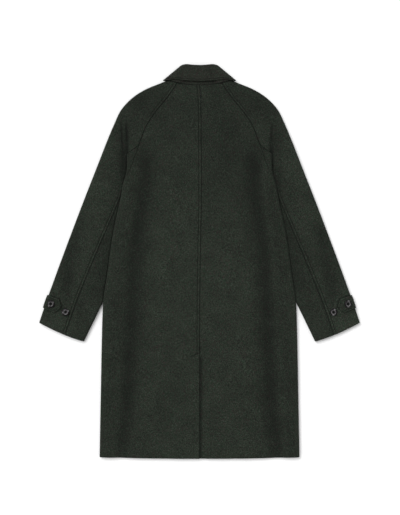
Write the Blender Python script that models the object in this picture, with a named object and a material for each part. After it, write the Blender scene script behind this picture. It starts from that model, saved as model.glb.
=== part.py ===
"""A knee-length raglan coat in dark green wool, laid flat on its fronts with the back uppermost.

Metres, +Z up. The coat lies on the plane z = 0, its collar towards +Y and the wearer's left at -X.
The origin is on that plane, in the middle of the coat's length and width.

Places are given as a maker measures them: half is the distance out from the centre back, and drop is
the distance down from the nape, where the collar meets the centre back seam. Each side is drawn once
and mirrored, apart from the laps at the vent and at the centre front.
"""
import bisect
import math
from collections import namedtuple

import bmesh
import bpy
from mathutils import Vector

# Main sizes
BACK_LENGTH = 1.0640
COLLAR_RISE = 0.0590
NAPE_Y = (BACK_LENGTH - COLLAR_RISE) / 2
CLOTH = 0.0025
COLLAR_CLOTH = 0.0025
TAB_CLOTH = 0.0035
SEAM_GAP = 0.0003
SIDE_GAP = 0.0006
BODY_RISE = 0.013
EDGE_ROUND = 0.0065

# Neck, armpit, side seam and hem
NECK_HALF = 0.0640
NECK_LIFT = 0.007
ARMPIT_DROP = 0.172
ARMPIT_HALF = 0.1735
UNDERARM_END_DROP = 0.1955
SEAM_AT_EDGE_DROP = 0.275
HEM_SAG = 0.0045
HEM_BEND_TOP = 0.90
HEM_BEND_LENGTH = 0.16
NECK_BEND_LENGTH = 0.10
SEAM_TURN = 0.020
SEAM_TURN_GAP = 0.0024
SEAM_TURN_LENGTH = 0.060

# Laps
VENT_TOP = 0.764
VENT_UNDERLAY = 0.050
VENT_STEP = CLOTH + 0.0005
VENT_STEP_LEAD = 0.060
VENT_STEP_FLAT = 0.004
VENT_STEP_FADE = 0.030
FRONT_LAP = 0.040
LAP_LIFT = CLOTH + 0.0004
LAP_LEVEL_HALF = 0.078
LAP_FADE = 0.032
FRONT_NECK_DROP = 0.060
FRONT_NECK_POWER = 2.2
FRONT_NECK_LENGTH = 0.22

# Collar
ROLL_RADIUS = 0.0047
COLLAR_TOP = BODY_RISE + 2 * ROLL_RADIUS - COLLAR_CLOTH
COLLAR_SIDE_ROUND = COLLAR_TOP / 2
ROLL_HALF = 0.0495
LEAF_TIP_HALF = 0.1055
ROLL_DROP = -0.0567
ROLL_END_RISE = 0.0023
WING_LIFT = COLLAR_CLOTH + 0.0006
WING_CLEAR_HALF = 0.142
WING_CLEAR_HALF_FADE = 0.030
WING_CLEAR_DROP = 0.150
WING_CLEAR_DROP_FADE = 0.048
WING_LIP = 0.0120
WING_LIP_START = 0.3
WING_SLANT_END = 0.5
STAND_HALF = 0.086
STAND_OVER = COLLAR_CLOTH + 0.0010
STAND_RISE_IN = 0.020
STAND_RISE_LENGTH = 0.012
LEAF_SLANT = 1.57
COLLAR_SIDE_INSET = COLLAR_SIDE_ROUND * LEAF_SLANT

# Cuff tab and buttons
TAB_FROM_CUFF = 0.0630
TAB_WIDTH = 0.0385
TAB_STRAIGHT = 0.032
TAB_REACH = 0.0435
TAB_POINT = 0.20
TAB_UNDER = 0.030
TAB_LIFT = TAB_CLOTH + SIDE_GAP
TAB_CLEAR_IN = 0.042
TAB_CLEAR_IN_FADE = 0.024
TAB_CLEAR_BESIDE = 0.036
TAB_CLEAR_BESIDE_FADE = 0.022
BUTTON_RADIUS = 0.0108
BUTTON_HEIGHT = 0.0042
BUTTON_GAP = 1.5 * SIDE_GAP
TAB_BUTTON_IN = 0.0155
SLEEVE_BUTTON_IN = 0.0614
SLEEVE_BUTTON_FROM_CUFF = 0.0582

# Where each line of the cut lies on the laid coat
LineRow = namedtuple("LineRow", "drop half")
BODY_EDGE = [
    LineRow(drop=0.170, half=0.2060),
    LineRow(drop=0.235, half=0.2070),
    LineRow(drop=0.282, half=0.2180),
    LineRow(drop=0.325, half=0.2260),
    LineRow(drop=0.420, half=0.2465),
    LineRow(drop=0.540, half=0.2635),
    LineRow(drop=0.630, half=0.2758),
    LineRow(drop=0.903, half=0.2820),
    LineRow(drop=1.064, half=0.2850),
]
NECK_AND_RAGLAN = [
    LineRow(drop=-0.0275, half=0.0560),
    LineRow(drop=-0.007, half=NECK_HALF),
    LineRow(drop=0.031, half=0.0885),
    LineRow(drop=0.074, half=0.1230),
    LineRow(drop=0.116, half=0.1510),
    LineRow(drop=ARMPIT_DROP, half=ARMPIT_HALF),
]
LEAF_EDGE = [
    LineRow(drop=-0.0100, half=0.000),
    LineRow(drop=-0.0125, half=0.054),
    LineRow(drop=-0.0150, half=0.078),
    LineRow(drop=-0.0125, half=LEAF_TIP_HALF),
]
WING_BEND = [LineRow(drop=0.020, half=0.045), LineRow(drop=0.030, half=0.100)]
WING_END = [LineRow(drop=0.048, half=0.004), LineRow(drop=0.085, half=0.085)]

# Sections across the sleeve, from the raglan seam to the cuff
SleeveRow = namedtuple("SleeveRow", "outer_half outer_drop inner_drop")
SLEEVE = [
    SleeveRow(outer_half=0.056, outer_drop=-0.0275, inner_drop=ARMPIT_DROP),
    SleeveRow(outer_half=0.110, outer_drop=-0.0060, inner_drop=0.176),
    SleeveRow(outer_half=0.151, outer_drop=0.0105, inner_drop=0.180),
    SleeveRow(outer_half=0.1905, outer_drop=0.0352, inner_drop=0.185),
    SleeveRow(outer_half=0.224, outer_drop=0.071, inner_drop=0.190),
    SleeveRow(outer_half=0.243, outer_drop=0.110, inner_drop=UNDERARM_END_DROP),
    SleeveRow(outer_half=0.262, outer_drop=0.155, inner_drop=0.212),
    SleeveRow(outer_half=0.2846, outer_drop=0.213, inner_drop=0.243),
    SleeveRow(outer_half=0.332, outer_drop=0.334, inner_drop=0.372),
    SleeveRow(outer_half=0.3836, outer_drop=0.470, inner_drop=0.520),
    SleeveRow(outer_half=0.4248, outer_drop=0.583, inner_drop=0.637),
    SleeveRow(outer_half=0.4572, outer_drop=0.6762, inner_drop=0.7302),
]
CUFF_INNER_HALF = 0.3295
CUFF_BOW = 0.0045
CUFF_BOW_LENGTH = 0.12
INNER_EDGE_SLOPE = 0.486
TUBE_START_LENGTH = 0.040
ARM_SEAM_TOP = 0.095
ARM_SEAM_CUFF = 0.080
ARM_SEAM_START_DROP = 0.30
ARM_SEAM_BEND_ALONG = 0.35
RAGLAN_BLEND = 0.25

# Soft hollows and rolls of the upper cloth, each along its own line
Fold = namedtuple("Fold", "on rise inner outer fade line")
FOLDS = [
    Fold(on="body", rise=-0.0055, inner=0.031, outer=0.021, fade=0.10, line=[
        LineRow(drop=0.130, half=0.157),
        LineRow(drop=0.270, half=0.158),
        LineRow(drop=0.412, half=0.176),
        LineRow(drop=0.555, half=0.190),
        LineRow(drop=0.726, half=0.198),
        LineRow(drop=0.897, half=0.206),
        LineRow(drop=1.120, half=0.234),
    ]),
    Fold(on="body", rise=0.0030, inner=0.022, outer=0.030, fade=0.10, line=[
        LineRow(drop=0.200, half=0.192),
        LineRow(drop=0.420, half=0.214),
        LineRow(drop=0.738, half=0.247),
        LineRow(drop=1.200, half=0.266),
    ]),
    Fold(on="sleeve", rise=-0.0045, inner=0.009, outer=0.030, fade=0.07, line=[
        LineRow(drop=0.095, half=0.211),
        LineRow(drop=0.170, half=0.208),
        LineRow(drop=0.235, half=0.209),
        LineRow(drop=0.325, half=0.2275),
        LineRow(drop=0.540, half=0.264),
        LineRow(drop=0.640, half=0.278),
    ]),
    Fold(on="sleeve", rise=-0.0030, inner=0.020, outer=0.018, fade=0.08, line=[
        LineRow(drop=0.360, half=0.330),
        LineRow(drop=0.480, half=0.362),
        LineRow(drop=0.660, half=0.385),
    ]),
    Fold(on="sleeve", rise=0.0022, inner=0.030, outer=0.030, fade=0.10, line=[
        LineRow(drop=0.120, half=0.262),
        LineRow(drop=0.300, half=0.292),
        LineRow(drop=0.540, half=0.325),
    ]),
]

# A button's section from the middle of its dish to its underside, as shares of its radius and height
ButtonRow = namedtuple("ButtonRow", "radius height")
BUTTON_SECTION = [
    ButtonRow(radius=0.44, height=0.60),
    ButtonRow(radius=0.55, height=0.92),
    ButtonRow(radius=0.70, height=1.00),
    ButtonRow(radius=0.86, height=0.92),
    ButtonRow(radius=1.00, height=0.55),
    ButtonRow(radius=0.93, height=0.20),
    ButtonRow(radius=0.70, height=0.00),
]

# Colours and finish
WOOL = (0.024, 0.030, 0.023)
WOOL_ROUGHNESS = 0.95
HORN = (0.012, 0.011, 0.012)
HORN_ROUGHNESS = 0.22

# How finely each piece is divided
SAME_PLACE = 1e-6
BACK_FLATS = 11
UNDERARM_ROWS = 6
BODY_ROWS = 8
VENT_ROWS = 5
FRONT_FLATS = 6
FRONT_UNDERARM_ROWS = 3
FRONT_BODY_ROWS = 10
FRONT_FULL_HALF = 0.200
FRONT_INNER_HALVES = (0.0, 0.045)
FRONT_OUTER_START = 0.080
FRONT_STRIPS = 5
FRONT_STRIP_CROWD = 1.6
FRONT_STRIP_TAPER = 0.0030
SLEEVE_FLATS = 7
SHOULDER_ROWS = 9
ARM_ROWS = 13
ARM_STRIPS = 5
ARM_STRIP_CROWD = 2.0
NARROW_STRIP_CROWD = 1.5
LEAST_STRIP = 0.002
LEAST_RAGLAN_STEP = 0.004
TAB_ROW_LEAD = 0.030
TAB_ROW_SPREAD = 0.0235
TAB_ACROSS = (-1.0, -0.5, 0.0, 0.5, 1.0)
TAB_UNDER_ROWS = 3
TAB_EDGE_ROWS = 7
TAB_TOP_ROWS = 4
TAB_POINT_ROWS = 3
LEAF_COLUMNS = 7
STAND_ROWS = 5
STAND_COLUMNS = 25
LEAF_SPREADS = (1.0, 0.75, 0.5, 0.25, 0.0)
WING_SPOTS = (0.0, 0.16, 0.32, 0.48, 0.64, 0.82, 1.0)
BUTTON_SIDES = 20

# A wall's inner face lies level inward from steep cloth, and straight below cloth that is nearly flat
STEEP = 0.3
UPRIGHT = 0.86
UPRIGHT_FADE = 0.10
NEVER_UPRIGHT = 2.0

# Turns round a folded edge and round the collar's roll
QUARTER_TURN = [math.radians(angle) for angle in (0, 30, 60, 90)]
HALF_TURN = [math.radians(angle) for angle in (30, 60, 90, 120, 150, 180)]


def smooth(share):
    """A soft step from 0 to 1."""
    share = min(max(share, 0.0), 1.0)
    return share * share * (3 - 2 * share)


def blend(start, end, share):
    return start + (end - start) * share


def curve(places, values):
    """A smooth line through the values at the places, with no overshoot between them."""
    steps = []
    for i in range(len(places) - 1):
        steps.append((values[i + 1] - values[i]) / (places[i + 1] - places[i]))
    slopes = [steps[0]]
    for before, after in zip(steps, steps[1:]):
        same_way = before * after > 0
        slopes.append(2 * before * after / (before + after) if same_way else 0.0)
    slopes.append(steps[-1])

    def at(place):
        i = min(max(bisect.bisect_right(places, place) - 1, 0), len(steps) - 1)
        width = places[i + 1] - places[i]
        t = min(max((place - places[i]) / width, 0.0), 1.0)
        rise = values[i + 1] - values[i]
        bend_in = slopes[i] * width - rise
        bend_out = rise - slopes[i + 1] * width
        return blend(values[i], values[i + 1], t) + t * (1 - t) * (bend_in * (1 - t) + bend_out * t)

    return at


def line(rows):
    """How far out a line lies at each drop."""
    return curve([row.drop for row in rows], [row.half for row in rows])


def evenly(start, end, count):
    return [blend(start, end, i / (count - 1)) for i in range(count)]


def length_along(rows):
    """Distance along the sleeve's outer edge at each section."""
    total = [0.0]
    for row, after in zip(rows, rows[1:]):
        step = math.hypot(after.outer_half - row.outer_half, after.outer_drop - row.outer_drop)
        total.append(total[-1] + step)
    return total


body_edge = line(BODY_EDGE)
raglan = line(NECK_AND_RAGLAN)
leaf_edge_drop = curve([row.half for row in LEAF_EDGE], [row.drop for row in LEAF_EDGE])
fold_lines = [line(fold.line) for fold in FOLDS]
SLEEVE_ALONG = length_along(SLEEVE)
SLEEVE_LENGTH = SLEEVE_ALONG[-1]
TAB_ALONG = SLEEVE_LENGTH - TAB_FROM_CUFF
outer_half = curve(SLEEVE_ALONG, [row.outer_half for row in SLEEVE])
outer_drop = curve(SLEEVE_ALONG, [row.outer_drop for row in SLEEVE])
inner_drop = curve(SLEEVE_ALONG, [row.inner_drop for row in SLEEVE])


def crown(on, half, drop):
    """Height of the upper cloth above the floor, away from its rounded edges."""
    height = BODY_RISE
    for fold, middle in zip(FOLDS, fold_lines):
        if fold.on != on:
            continue
        starts = smooth((drop - fold.line[0].drop) / fold.fade)
        ends = smooth((fold.line[-1].drop - drop) / fold.fade)
        across = half - middle(drop)
        width = fold.inner if across < 0 else fold.outer
        height += fold.rise * starts * ends * math.exp(-(across / width) ** 2)
    return height


def tab_frame():
    """Where the tab crosses the sleeve's outer edge, the ways square in from it and along it, and how far
    the sleeve's sections slant along it."""
    edge, inside, width = sleeve_section(TAB_ALONG)
    along = (sleeve_section(TAB_ALONG + TAB_WIDTH / 2)[0] - edge).normalized()
    slant = (inside - edge).dot(along) / width
    return edge, Vector((-along.y, along.x)), along, slant


def lift(half, drop):
    """Height of the lower cloth above the floor, where it lies over the collar wings and the tab."""
    over_wing = smooth((WING_CLEAR_HALF - abs(half)) / WING_CLEAR_HALF_FADE)
    over_wing *= smooth((WING_CLEAR_DROP - drop) / WING_CLEAR_DROP_FADE)
    edge, inward, along, _ = TAB_FRAME
    from_edge = Vector((half, drop)) - edge
    into = TAB_UNDER + TAB_CLEAR_IN - from_edge.dot(inward)
    beside = TAB_WIDTH / 2 + TAB_CLEAR_BESIDE - abs(from_edge.dot(along))
    over_tab = smooth(into / TAB_CLEAR_IN_FADE) * smooth(beside / TAB_CLEAR_BESIDE_FADE)
    return WING_LIFT * over_wing + TAB_LIFT * over_tab


def roundness(inset):
    """How far the cloth has opened out at a distance in from a folded edge: 0 at the edge, then 1."""
    share = min(max(inset / EDGE_ROUND, 0.0), 1.0)
    return math.sqrt(max(0.0, 1 - (1 - share) ** 2))


def place(side, half, drop, height):
    return Vector((side * half, NAPE_Y - drop, height))


# Making a closed cloth piece

def material(name, colour, roughness):
    made = bpy.data.materials.new(name)
    made.use_nodes = True
    shader = made.node_tree.nodes["Principled BSDF"]
    shader.inputs["Base Color"].default_value = (*colour, 1.0)
    shader.inputs["Roughness"].default_value = roughness
    shader.inputs["Metallic"].default_value = 0.0
    return made


def add_piece(name, data, finish):
    piece = bpy.data.objects.new(name, data)
    bpy.context.scene.collection.objects.link(piece)
    data.materials.append(finish)
    return piece


def direction(points, k):
    """Direction of a line of points at one of them, by a parabola through it and its neighbours."""
    def step(i, j):
        if min(i, j) < 0 or max(i, j) >= len(points) or points[i] is None or points[j] is None:
            return None
        move = points[j] - points[i]
        return move if move.length > SAME_PLACE / 10 else None

    back, ahead = step(k - 1, k), step(k, k + 1)
    if back is not None and ahead is not None:
        return back * (ahead.length / back.length) + ahead * (back.length / ahead.length)
    near = ahead if ahead is not None else back
    far = step(k + 1, k + 2) if ahead is not None else step(k - 2, k - 1)
    if far is None:
        return near
    turn = near.normalized() - far.normalized()
    return near.normalized() + turn * (near.length / (near.length + far.length))


def inward_way(normal, upright):
    """The way from a wall's outer face to its inner one: straight down or level where it nearly is."""
    if abs(normal.z) < STEEP:
        return Vector((-normal.x, -normal.y, 0.0)).normalized()
    down = Vector((0.0, 0.0, -math.copysign(1.0, normal.z)))
    return (-normal).lerp(down, smooth((abs(normal.z) - upright) / UPRIGHT_FADE))


def wall_points(rows, thickness, flip, upright):
    """Outer and inner points of a wall, with the same point given one number wherever it recurs."""
    outer, inner, numbers, seen = [], [], [], {}
    for i, row in enumerate(rows):
        numbers.append([])
        for j, point in enumerate(row):
            if point is None:
                numbers[-1].append(None)
                continue
            key = tuple(round(value, 7) for value in point)
            if key not in seen:
                seen[key] = len(outer)
                column = [other[j] for other in rows]
                normal = direction(row, j).cross(direction(column, i)).normalized()
                outer.append(point)
                inner.append(point + inward_way(-normal if flip else normal, upright) * thickness)
            numbers[-1].append(seen[key])
    return outer, inner, numbers


def cloth_piece(name, rows, thickness, flip, upright=UPRIGHT):
    """A wall of cloth whose outer face runs through rows of points; a gap in a row is None."""
    outer, inner, numbers = wall_points(rows, thickness, flip, upright)
    faces = []
    for upper, lower in zip(numbers, numbers[1:]):
        for i in range(len(upper) - 1):
            cell = list(dict.fromkeys([upper[i], upper[i + 1], lower[i + 1], lower[i]]))
            if None in cell or len(cell) < 3:
                continue
            faces.append(cell[::-1] if flip else cell)
    edges = {(a, b) for cell in faces for a, b in zip(cell, cell[1:] + cell[:1])}
    under = len(outer)
    walls = [[point + under for point in reversed(cell)] for cell in faces]
    rims = [[b, a, a + under, b + under] for a, b in sorted(edges) if (b, a) not in edges]
    data = bpy.data.meshes.new(name)
    data.from_pydata(outer + inner, [], faces + walls + rims)
    used = bmesh.new()
    used.from_mesh(data)
    bmesh.ops.delete(used, geom=[v for v in used.verts if not v.link_faces], context="VERTS")
    bmesh.ops.triangulate(used, faces=used.faces, quad_method="SHORT_EDGE")
    used.to_mesh(data)
    used.free()
    data.shade_smooth()
    return add_piece(name, data, material(name, WOOL, WOOL_ROUGHNESS))


def close_strips(rows, strips):
    """Bring a strip of points to one point on the folded edge in the row where the strip begins or ends."""
    bare = [row[-1] is None for row in rows]
    for i, row in enumerate(rows):
        beside = [bare[k] for k in (i - 1, i + 1) if 0 <= k < len(rows)]
        if bare[i] and row[-strips - 1] is not None and not all(beside):
            row[-strips:] = [row[-strips - 1]] * strips
    return rows


# Body

def side_seam(row_drop):
    """Where the side seam lies for the front's row that meets the body edge at this drop."""
    left = (SEAM_AT_EDGE_DROP - row_drop) / (SEAM_AT_EDGE_DROP - UNDERARM_END_DROP)
    left = min(max(left, 0.0), 1.0)
    inset = left * (body_edge(UNDERARM_END_DROP) - ARMPIT_HALF)
    rise = left * (UNDERARM_END_DROP - ARMPIT_DROP)
    return body_edge(row_drop) - inset, row_drop - rise


def seam_row(drop):
    """Drop at the body edge of the front's row that meets the side seam at this drop."""
    slope = (SEAM_AT_EDGE_DROP - ARMPIT_DROP) / (SEAM_AT_EDGE_DROP - UNDERARM_END_DROP)
    return max(drop, SEAM_AT_EDGE_DROP - (SEAM_AT_EDGE_DROP - drop) / slope)


def back_edge(drop):
    """How far out the back panel reaches: to the raglan seam, the side seam and then the body edge."""
    if drop <= ARMPIT_DROP:
        return raglan(drop) - SEAM_GAP
    on_top = smooth((SEAM_AT_EDGE_DROP - drop) / SEAM_TURN)
    return side_seam(seam_row(drop))[0] - SEAM_GAP * on_top


def edge_gap(drop):
    """Half the gap of the side seam along the folded edge, wider where it turns on to the back."""
    return SEAM_GAP / 2 + SEAM_TURN_GAP * (1 - smooth((drop - SEAM_AT_EDGE_DROP) / SEAM_TURN_LENGTH))


def body_top(half, drop, edge):
    """Height of the back of the body, rounded down at its folded side edge."""
    top = crown("body", half, drop)
    middle = top / 2
    return middle + (top - middle) * roundness(edge - half)


def vent_step(side, half, drop):
    """How far the right back lies below the left one beside the vent."""
    if side < 0:
        return 0.0
    begins = smooth((drop - VENT_TOP + VENT_STEP_LEAD) / VENT_STEP_LEAD)
    return VENT_STEP * begins * (1 - smooth((half - VENT_STEP_FLAT) / VENT_STEP_FADE))


def hem_bend(drop):
    """How far the hem sags at the centre back and centre front."""
    return HEM_SAG * smooth((drop - HEM_BEND_TOP) / HEM_BEND_LENGTH)


def back_rows(side, flats, drops):
    """Points of one back panel, from the neck to the hem and from the centre back outwards."""
    rows = []
    for drop in drops:
        edge = back_edge(drop)
        shares = [(edge - EDGE_ROUND) * i / flats for i in range(flats + 1)]
        halves = shares + [edge - EDGE_ROUND * (1 - math.sin(turn)) for turn in QUARTER_TURN[1:]]
        halves[0] = SEAM_GAP / 2
        bend = NECK_LIFT * (1 - smooth(drop / NECK_BEND_LENGTH)) + hem_bend(drop)
        row = vent_underlay(side, drop, bend) if side > 0 else []
        for half in halves:
            here = drop + bend * (1 - (half / edge) ** 2)
            at_edge = drop >= SEAM_AT_EDGE_DROP and half == halves[-1]
            fold = body_edge(seam_row(drop)) if drop > ARMPIT_DROP else edge + EDGE_ROUND
            height = body_top(half, drop, fold) + (edge_gap(drop) if at_edge else 0.0)
            row.append(place(side, half, here, height - vent_step(side, half, drop)))
        rows.append(row)
    return rows


def vent_underlay(side, drop, bend):
    """The strip of the right back that runs on under the left one below the vent's top."""
    if drop < VENT_TOP - SAME_PLACE:
        return [None, None]
    strip = []
    for half in (-VENT_UNDERLAY, -VENT_UNDERLAY / 2):
        strip.append(place(side, half, drop + bend, crown("body", 0.0, drop) - VENT_STEP))
    return strip


def raglan_drops(spots):
    """Drops of the raglan seam's points, the same for the panel as for the sleeve sewn to it."""
    outer, inner, width = sleeve_section(0.0)
    drops = [blend(outer.y, inner.y, across / width) for across in spots]
    return [-NECK_LIFT] + [drop for drop in drops if drop > LEAST_RAGLAN_STEP - NECK_LIFT]


def make_back(side, name):
    drops = raglan_drops(across_back(0.0, SLEEVE_FLATS))
    drops += evenly(ARMPIT_DROP, SEAM_AT_EDGE_DROP, UNDERARM_ROWS)[1:]
    drops += evenly(SEAM_AT_EDGE_DROP, VENT_TOP, BODY_ROWS)[1:]
    drops += evenly(VENT_TOP, BACK_LENGTH - HEM_SAG, VENT_ROWS)[1:]
    return cloth_piece(name, back_rows(side, BACK_FLATS, drops), CLOTH, flip=side > 0)


def front_edge(drop):
    """How far out the front lies flat: to the raglan seam, the underarm seam and the body edge."""
    if drop <= ARMPIT_DROP:
        return raglan(drop) - SEAM_GAP
    if drop < UNDERARM_END_DROP:
        share = (drop - ARMPIT_DROP) / (UNDERARM_END_DROP - ARMPIT_DROP)
        return blend(ARMPIT_HALF, body_edge(UNDERARM_END_DROP), share) - 2 * SEAM_GAP
    return body_edge(drop)


def front_bottom(side, half, drop):
    """Height of the front's outer face, which rests on the floor; the right front laps over the left."""
    height = lift(half, drop)
    if side > 0:
        height += LAP_LIFT * smooth((LAP_LEVEL_HALF - half) / LAP_FADE)
    return height


def front_row(side, drop):
    """One row of a front: across the floor, round the body edge and on to the side seam."""
    edge = front_edge(drop)
    wraps = drop >= UNDERARM_END_DROP - SAME_PLACE
    flat_end = edge - EDGE_ROUND if wraps else edge
    neck_bend = (FRONT_NECK_DROP + NECK_LIFT) * (1 - smooth((drop + NECK_LIFT) / FRONT_NECK_LENGTH))
    narrow = min(1.0, edge / FRONT_FULL_HALF)
    halves = [-FRONT_LAP] + [reach * narrow for reach in FRONT_INNER_HALVES]
    halves += evenly(FRONT_OUTER_START * narrow, flat_end, FRONT_FLATS)
    row = []
    for half in halves:
        bow = 1 - (max(half, 0.0) / edge) ** FRONT_NECK_POWER
        here = drop + neck_bend * bow + hem_bend(drop) * (1 - (half / edge) ** 2)
        row.append(place(side, half, here, front_bottom(side, half, here)))
    if not wraps:
        return row + [None] * (len(QUARTER_TURN) - 1 + FRONT_STRIPS)
    middle = crown("body", edge, drop) / 2
    on_edge = drop > SEAM_AT_EDGE_DROP - SAME_PLACE
    for turn in reversed(QUARTER_TURN[:-1]):
        half = edge - EDGE_ROUND * (1 - math.cos(turn))
        base = front_bottom(side, half, drop)
        gap = edge_gap(drop) if on_edge and turn == 0 else 0.0
        row.append(place(side, half, drop, middle - (middle - base) * math.sin(turn) - gap))
    return row + front_strip(side, drop)


def front_strip(side, drop):
    """The corner of the front that folds over the body edge on to the back, below the armpit."""
    if drop > SEAM_AT_EDGE_DROP - SAME_PLACE:
        return [None] * FRONT_STRIPS
    edge = body_edge(drop)
    seam_half, seam_drop = side_seam(drop)
    near_end = (drop - UNDERARM_END_DROP) / (SEAM_AT_EDGE_DROP - UNDERARM_END_DROP)
    reach = edge - seam_half - 2 * SEAM_GAP - FRONT_STRIP_TAPER * near_end
    points = []
    for i in range(FRONT_STRIPS):
        inset = reach * ((i + 1) / FRONT_STRIPS) ** FRONT_STRIP_CROWD
        here = blend(drop, seam_drop, inset / (edge - seam_half)) + 2 * SEAM_GAP
        points.append(place(side, edge - inset, here, body_top(edge - inset, here, edge)))
    return points


def make_front(side, name):
    drops = raglan_drops(across_front(0.0, SLEEVE_FLATS))
    drops += evenly(ARMPIT_DROP, UNDERARM_END_DROP, FRONT_UNDERARM_ROWS)[1:]
    drops += evenly(UNDERARM_END_DROP, SEAM_AT_EDGE_DROP, UNDERARM_ROWS)[1:]
    drops += evenly(SEAM_AT_EDGE_DROP, BACK_LENGTH - HEM_SAG, FRONT_BODY_ROWS)[1:]
    rows = [front_row(side, drop) for drop in drops]
    return cloth_piece(name, close_strips(rows, FRONT_STRIPS), CLOTH, flip=side < 0)


# Sleeves

def inner_half(drop):
    """The sleeve's inner edge: along the underarm seam, beside the body and then free to the cuff."""
    if drop < UNDERARM_END_DROP:
        share = (drop - ARMPIT_DROP) / (UNDERARM_END_DROP - ARMPIT_DROP)
        return blend(ARMPIT_HALF, body_edge(UNDERARM_END_DROP) + SIDE_GAP, share)
    free = CUFF_INNER_HALF - (SLEEVE[-1].inner_drop - drop) * INNER_EDGE_SLOPE
    return max(body_edge(drop) + SIDE_GAP, free)


def sleeve_section(along):
    """Outer end, inner end and width of the sleeve's section at a distance along its outer edge."""
    outer = Vector((outer_half(along), outer_drop(along)))
    deep = inner_drop(along)
    inner = Vector((inner_half(deep), deep))
    return outer, inner, (inner - outer).length


def sleeve_place(along, across):
    """Half and drop of a point across the sleeve; the first section follows the raglan seam."""
    outer, inner, width = sleeve_section(along)
    share = across / width
    spot = outer.lerp(inner, share)
    left = max(0.0, 1 - along / RAGLAN_BLEND) ** 2
    first_outer, first_inner, _ = sleeve_section(0.0)
    drop = blend(first_outer.y, first_inner.y, share)
    seam = Vector((raglan(drop) + SEAM_GAP, drop))
    spot += (seam - first_outer.lerp(first_inner, share)) * left
    bow = CUFF_BOW * smooth((along - SLEEVE_LENGTH + CUFF_BOW_LENGTH) / CUFF_BOW_LENGTH)
    bow *= 4 * share * (1 - share)
    return spot + Vector((0.0, bow))


def beside_body(along):
    """How far the sleeve has become a folded tube of its own beside the body: 0 at the underarm, then 1."""
    return smooth((inner_drop(along) - UNDERARM_END_DROP) / TUBE_START_LENGTH)


def sleeve_point(along, layer, across):
    """A point of the sleeve's outer face; layer is 1 for the upper cloth and -1 for the lower."""
    width = sleeve_section(along)[2]
    spot = sleeve_place(along, across)
    top = crown("sleeve", spot.x, spot.y)
    bottom = lift(spot.x, spot.y)
    middle = (top + bottom) / 2
    open_out = roundness(across) * blend(1.0, roundness(width - across), beside_body(along))
    edge = top if layer > 0 else bottom
    return Vector((spot.x, spot.y, middle + (edge - middle) * open_out))


def ring_across(ring):
    """Distance across the sleeve at a distance round its rounded outer edge."""
    quarter = EDGE_ROUND * math.pi / 2
    turn = min(abs(ring), quarter) / EDGE_ROUND
    return EDGE_ROUND * (1 - math.cos(turn)) + max(0.0, abs(ring) - quarter)


def ring_point(along, ring):
    """A point by its distance round the outer edge: positive on the upper cloth, negative below."""
    return sleeve_point(along, 1 if ring > 0 else -1, ring_across(ring))


def ring_normal(along, ring):
    """The outward direction of the sleeve's face."""
    step = SIDE_GAP
    round_edge = ring_point(along, ring + step) - ring_point(along, ring - step)
    down_arm = ring_point(along + step, ring) - ring_point(along - step, ring)
    return down_arm.cross(round_edge).normalized()


def arm_seam(along, width):
    """How far in from the outer edge the seam on the back of the arm lies."""
    if inner_drop(along) < ARM_SEAM_START_DROP:
        return width
    share = smooth((along - ARM_SEAM_BEND_ALONG) / (SLEEVE_LENGTH - ARM_SEAM_BEND_ALONG))
    return min(width, blend(ARM_SEAM_TOP, ARM_SEAM_CUFF, share))


def across_back(along, flats):
    """Distances across the back of the sleeve, from the outer edge to its inner seam."""
    width = sleeve_section(along)[2]
    seam = arm_seam(along, width)
    end = seam if seam >= width else seam - SEAM_GAP
    spots = [EDGE_ROUND * (1 - math.cos(turn)) for turn in QUARTER_TURN]
    spots += evenly(EDGE_ROUND, end - EDGE_ROUND, flats + 1)[1:]
    return spots + [end - EDGE_ROUND * (1 - math.cos(turn)) for turn in reversed(QUARTER_TURN[:-1])]


def across_front(along, flats):
    """Distances across the sleeve's front half, from the outer edge to the inner edge."""
    width = sleeve_section(along)[2]
    spots = [EDGE_ROUND * (1 - math.cos(turn)) for turn in QUARTER_TURN]
    spots += evenly(EDGE_ROUND, width - EDGE_ROUND, flats + 1)[1:]
    return spots + [width - EDGE_ROUND * (1 - math.cos(turn)) for turn in reversed(QUARTER_TURN[:-1])]


def sleeve_alongs():
    """Places of the sleeve's sections: closer at the shoulder, and one at each side of the tab."""
    underarm = SLEEVE_ALONG[[row.inner_drop for row in SLEEVE].index(UNDERARM_END_DROP)]
    alongs = evenly(0.0, underarm, SHOULDER_ROWS)
    alongs += evenly(underarm, TAB_ALONG - TAB_WIDTH / 2 - TAB_ROW_LEAD, ARM_ROWS)[1:]
    return alongs + evenly(TAB_ALONG - TAB_ROW_SPREAD, TAB_ALONG + TAB_ROW_SPREAD, 3) + [SLEEVE_LENGTH]


def to_world(side, spot, up=0.0):
    return place(side, spot.x, spot.y, spot.z + up)


def make_sleeve_back(side, name):
    rows = []
    for along in sleeve_alongs():
        spots = across_back(along, SLEEVE_FLATS)
        row = [to_world(side, sleeve_point(along, 1, across)) for across in spots]
        row[0].z += SEAM_GAP / 2
        width = sleeve_section(along)[2]
        if arm_seam(along, width) >= width:
            row[-1].z += SEAM_GAP / 2 * beside_body(along)
        rows.append(row)
    return cloth_piece(name, rows, CLOTH, flip=side < 0)


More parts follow.
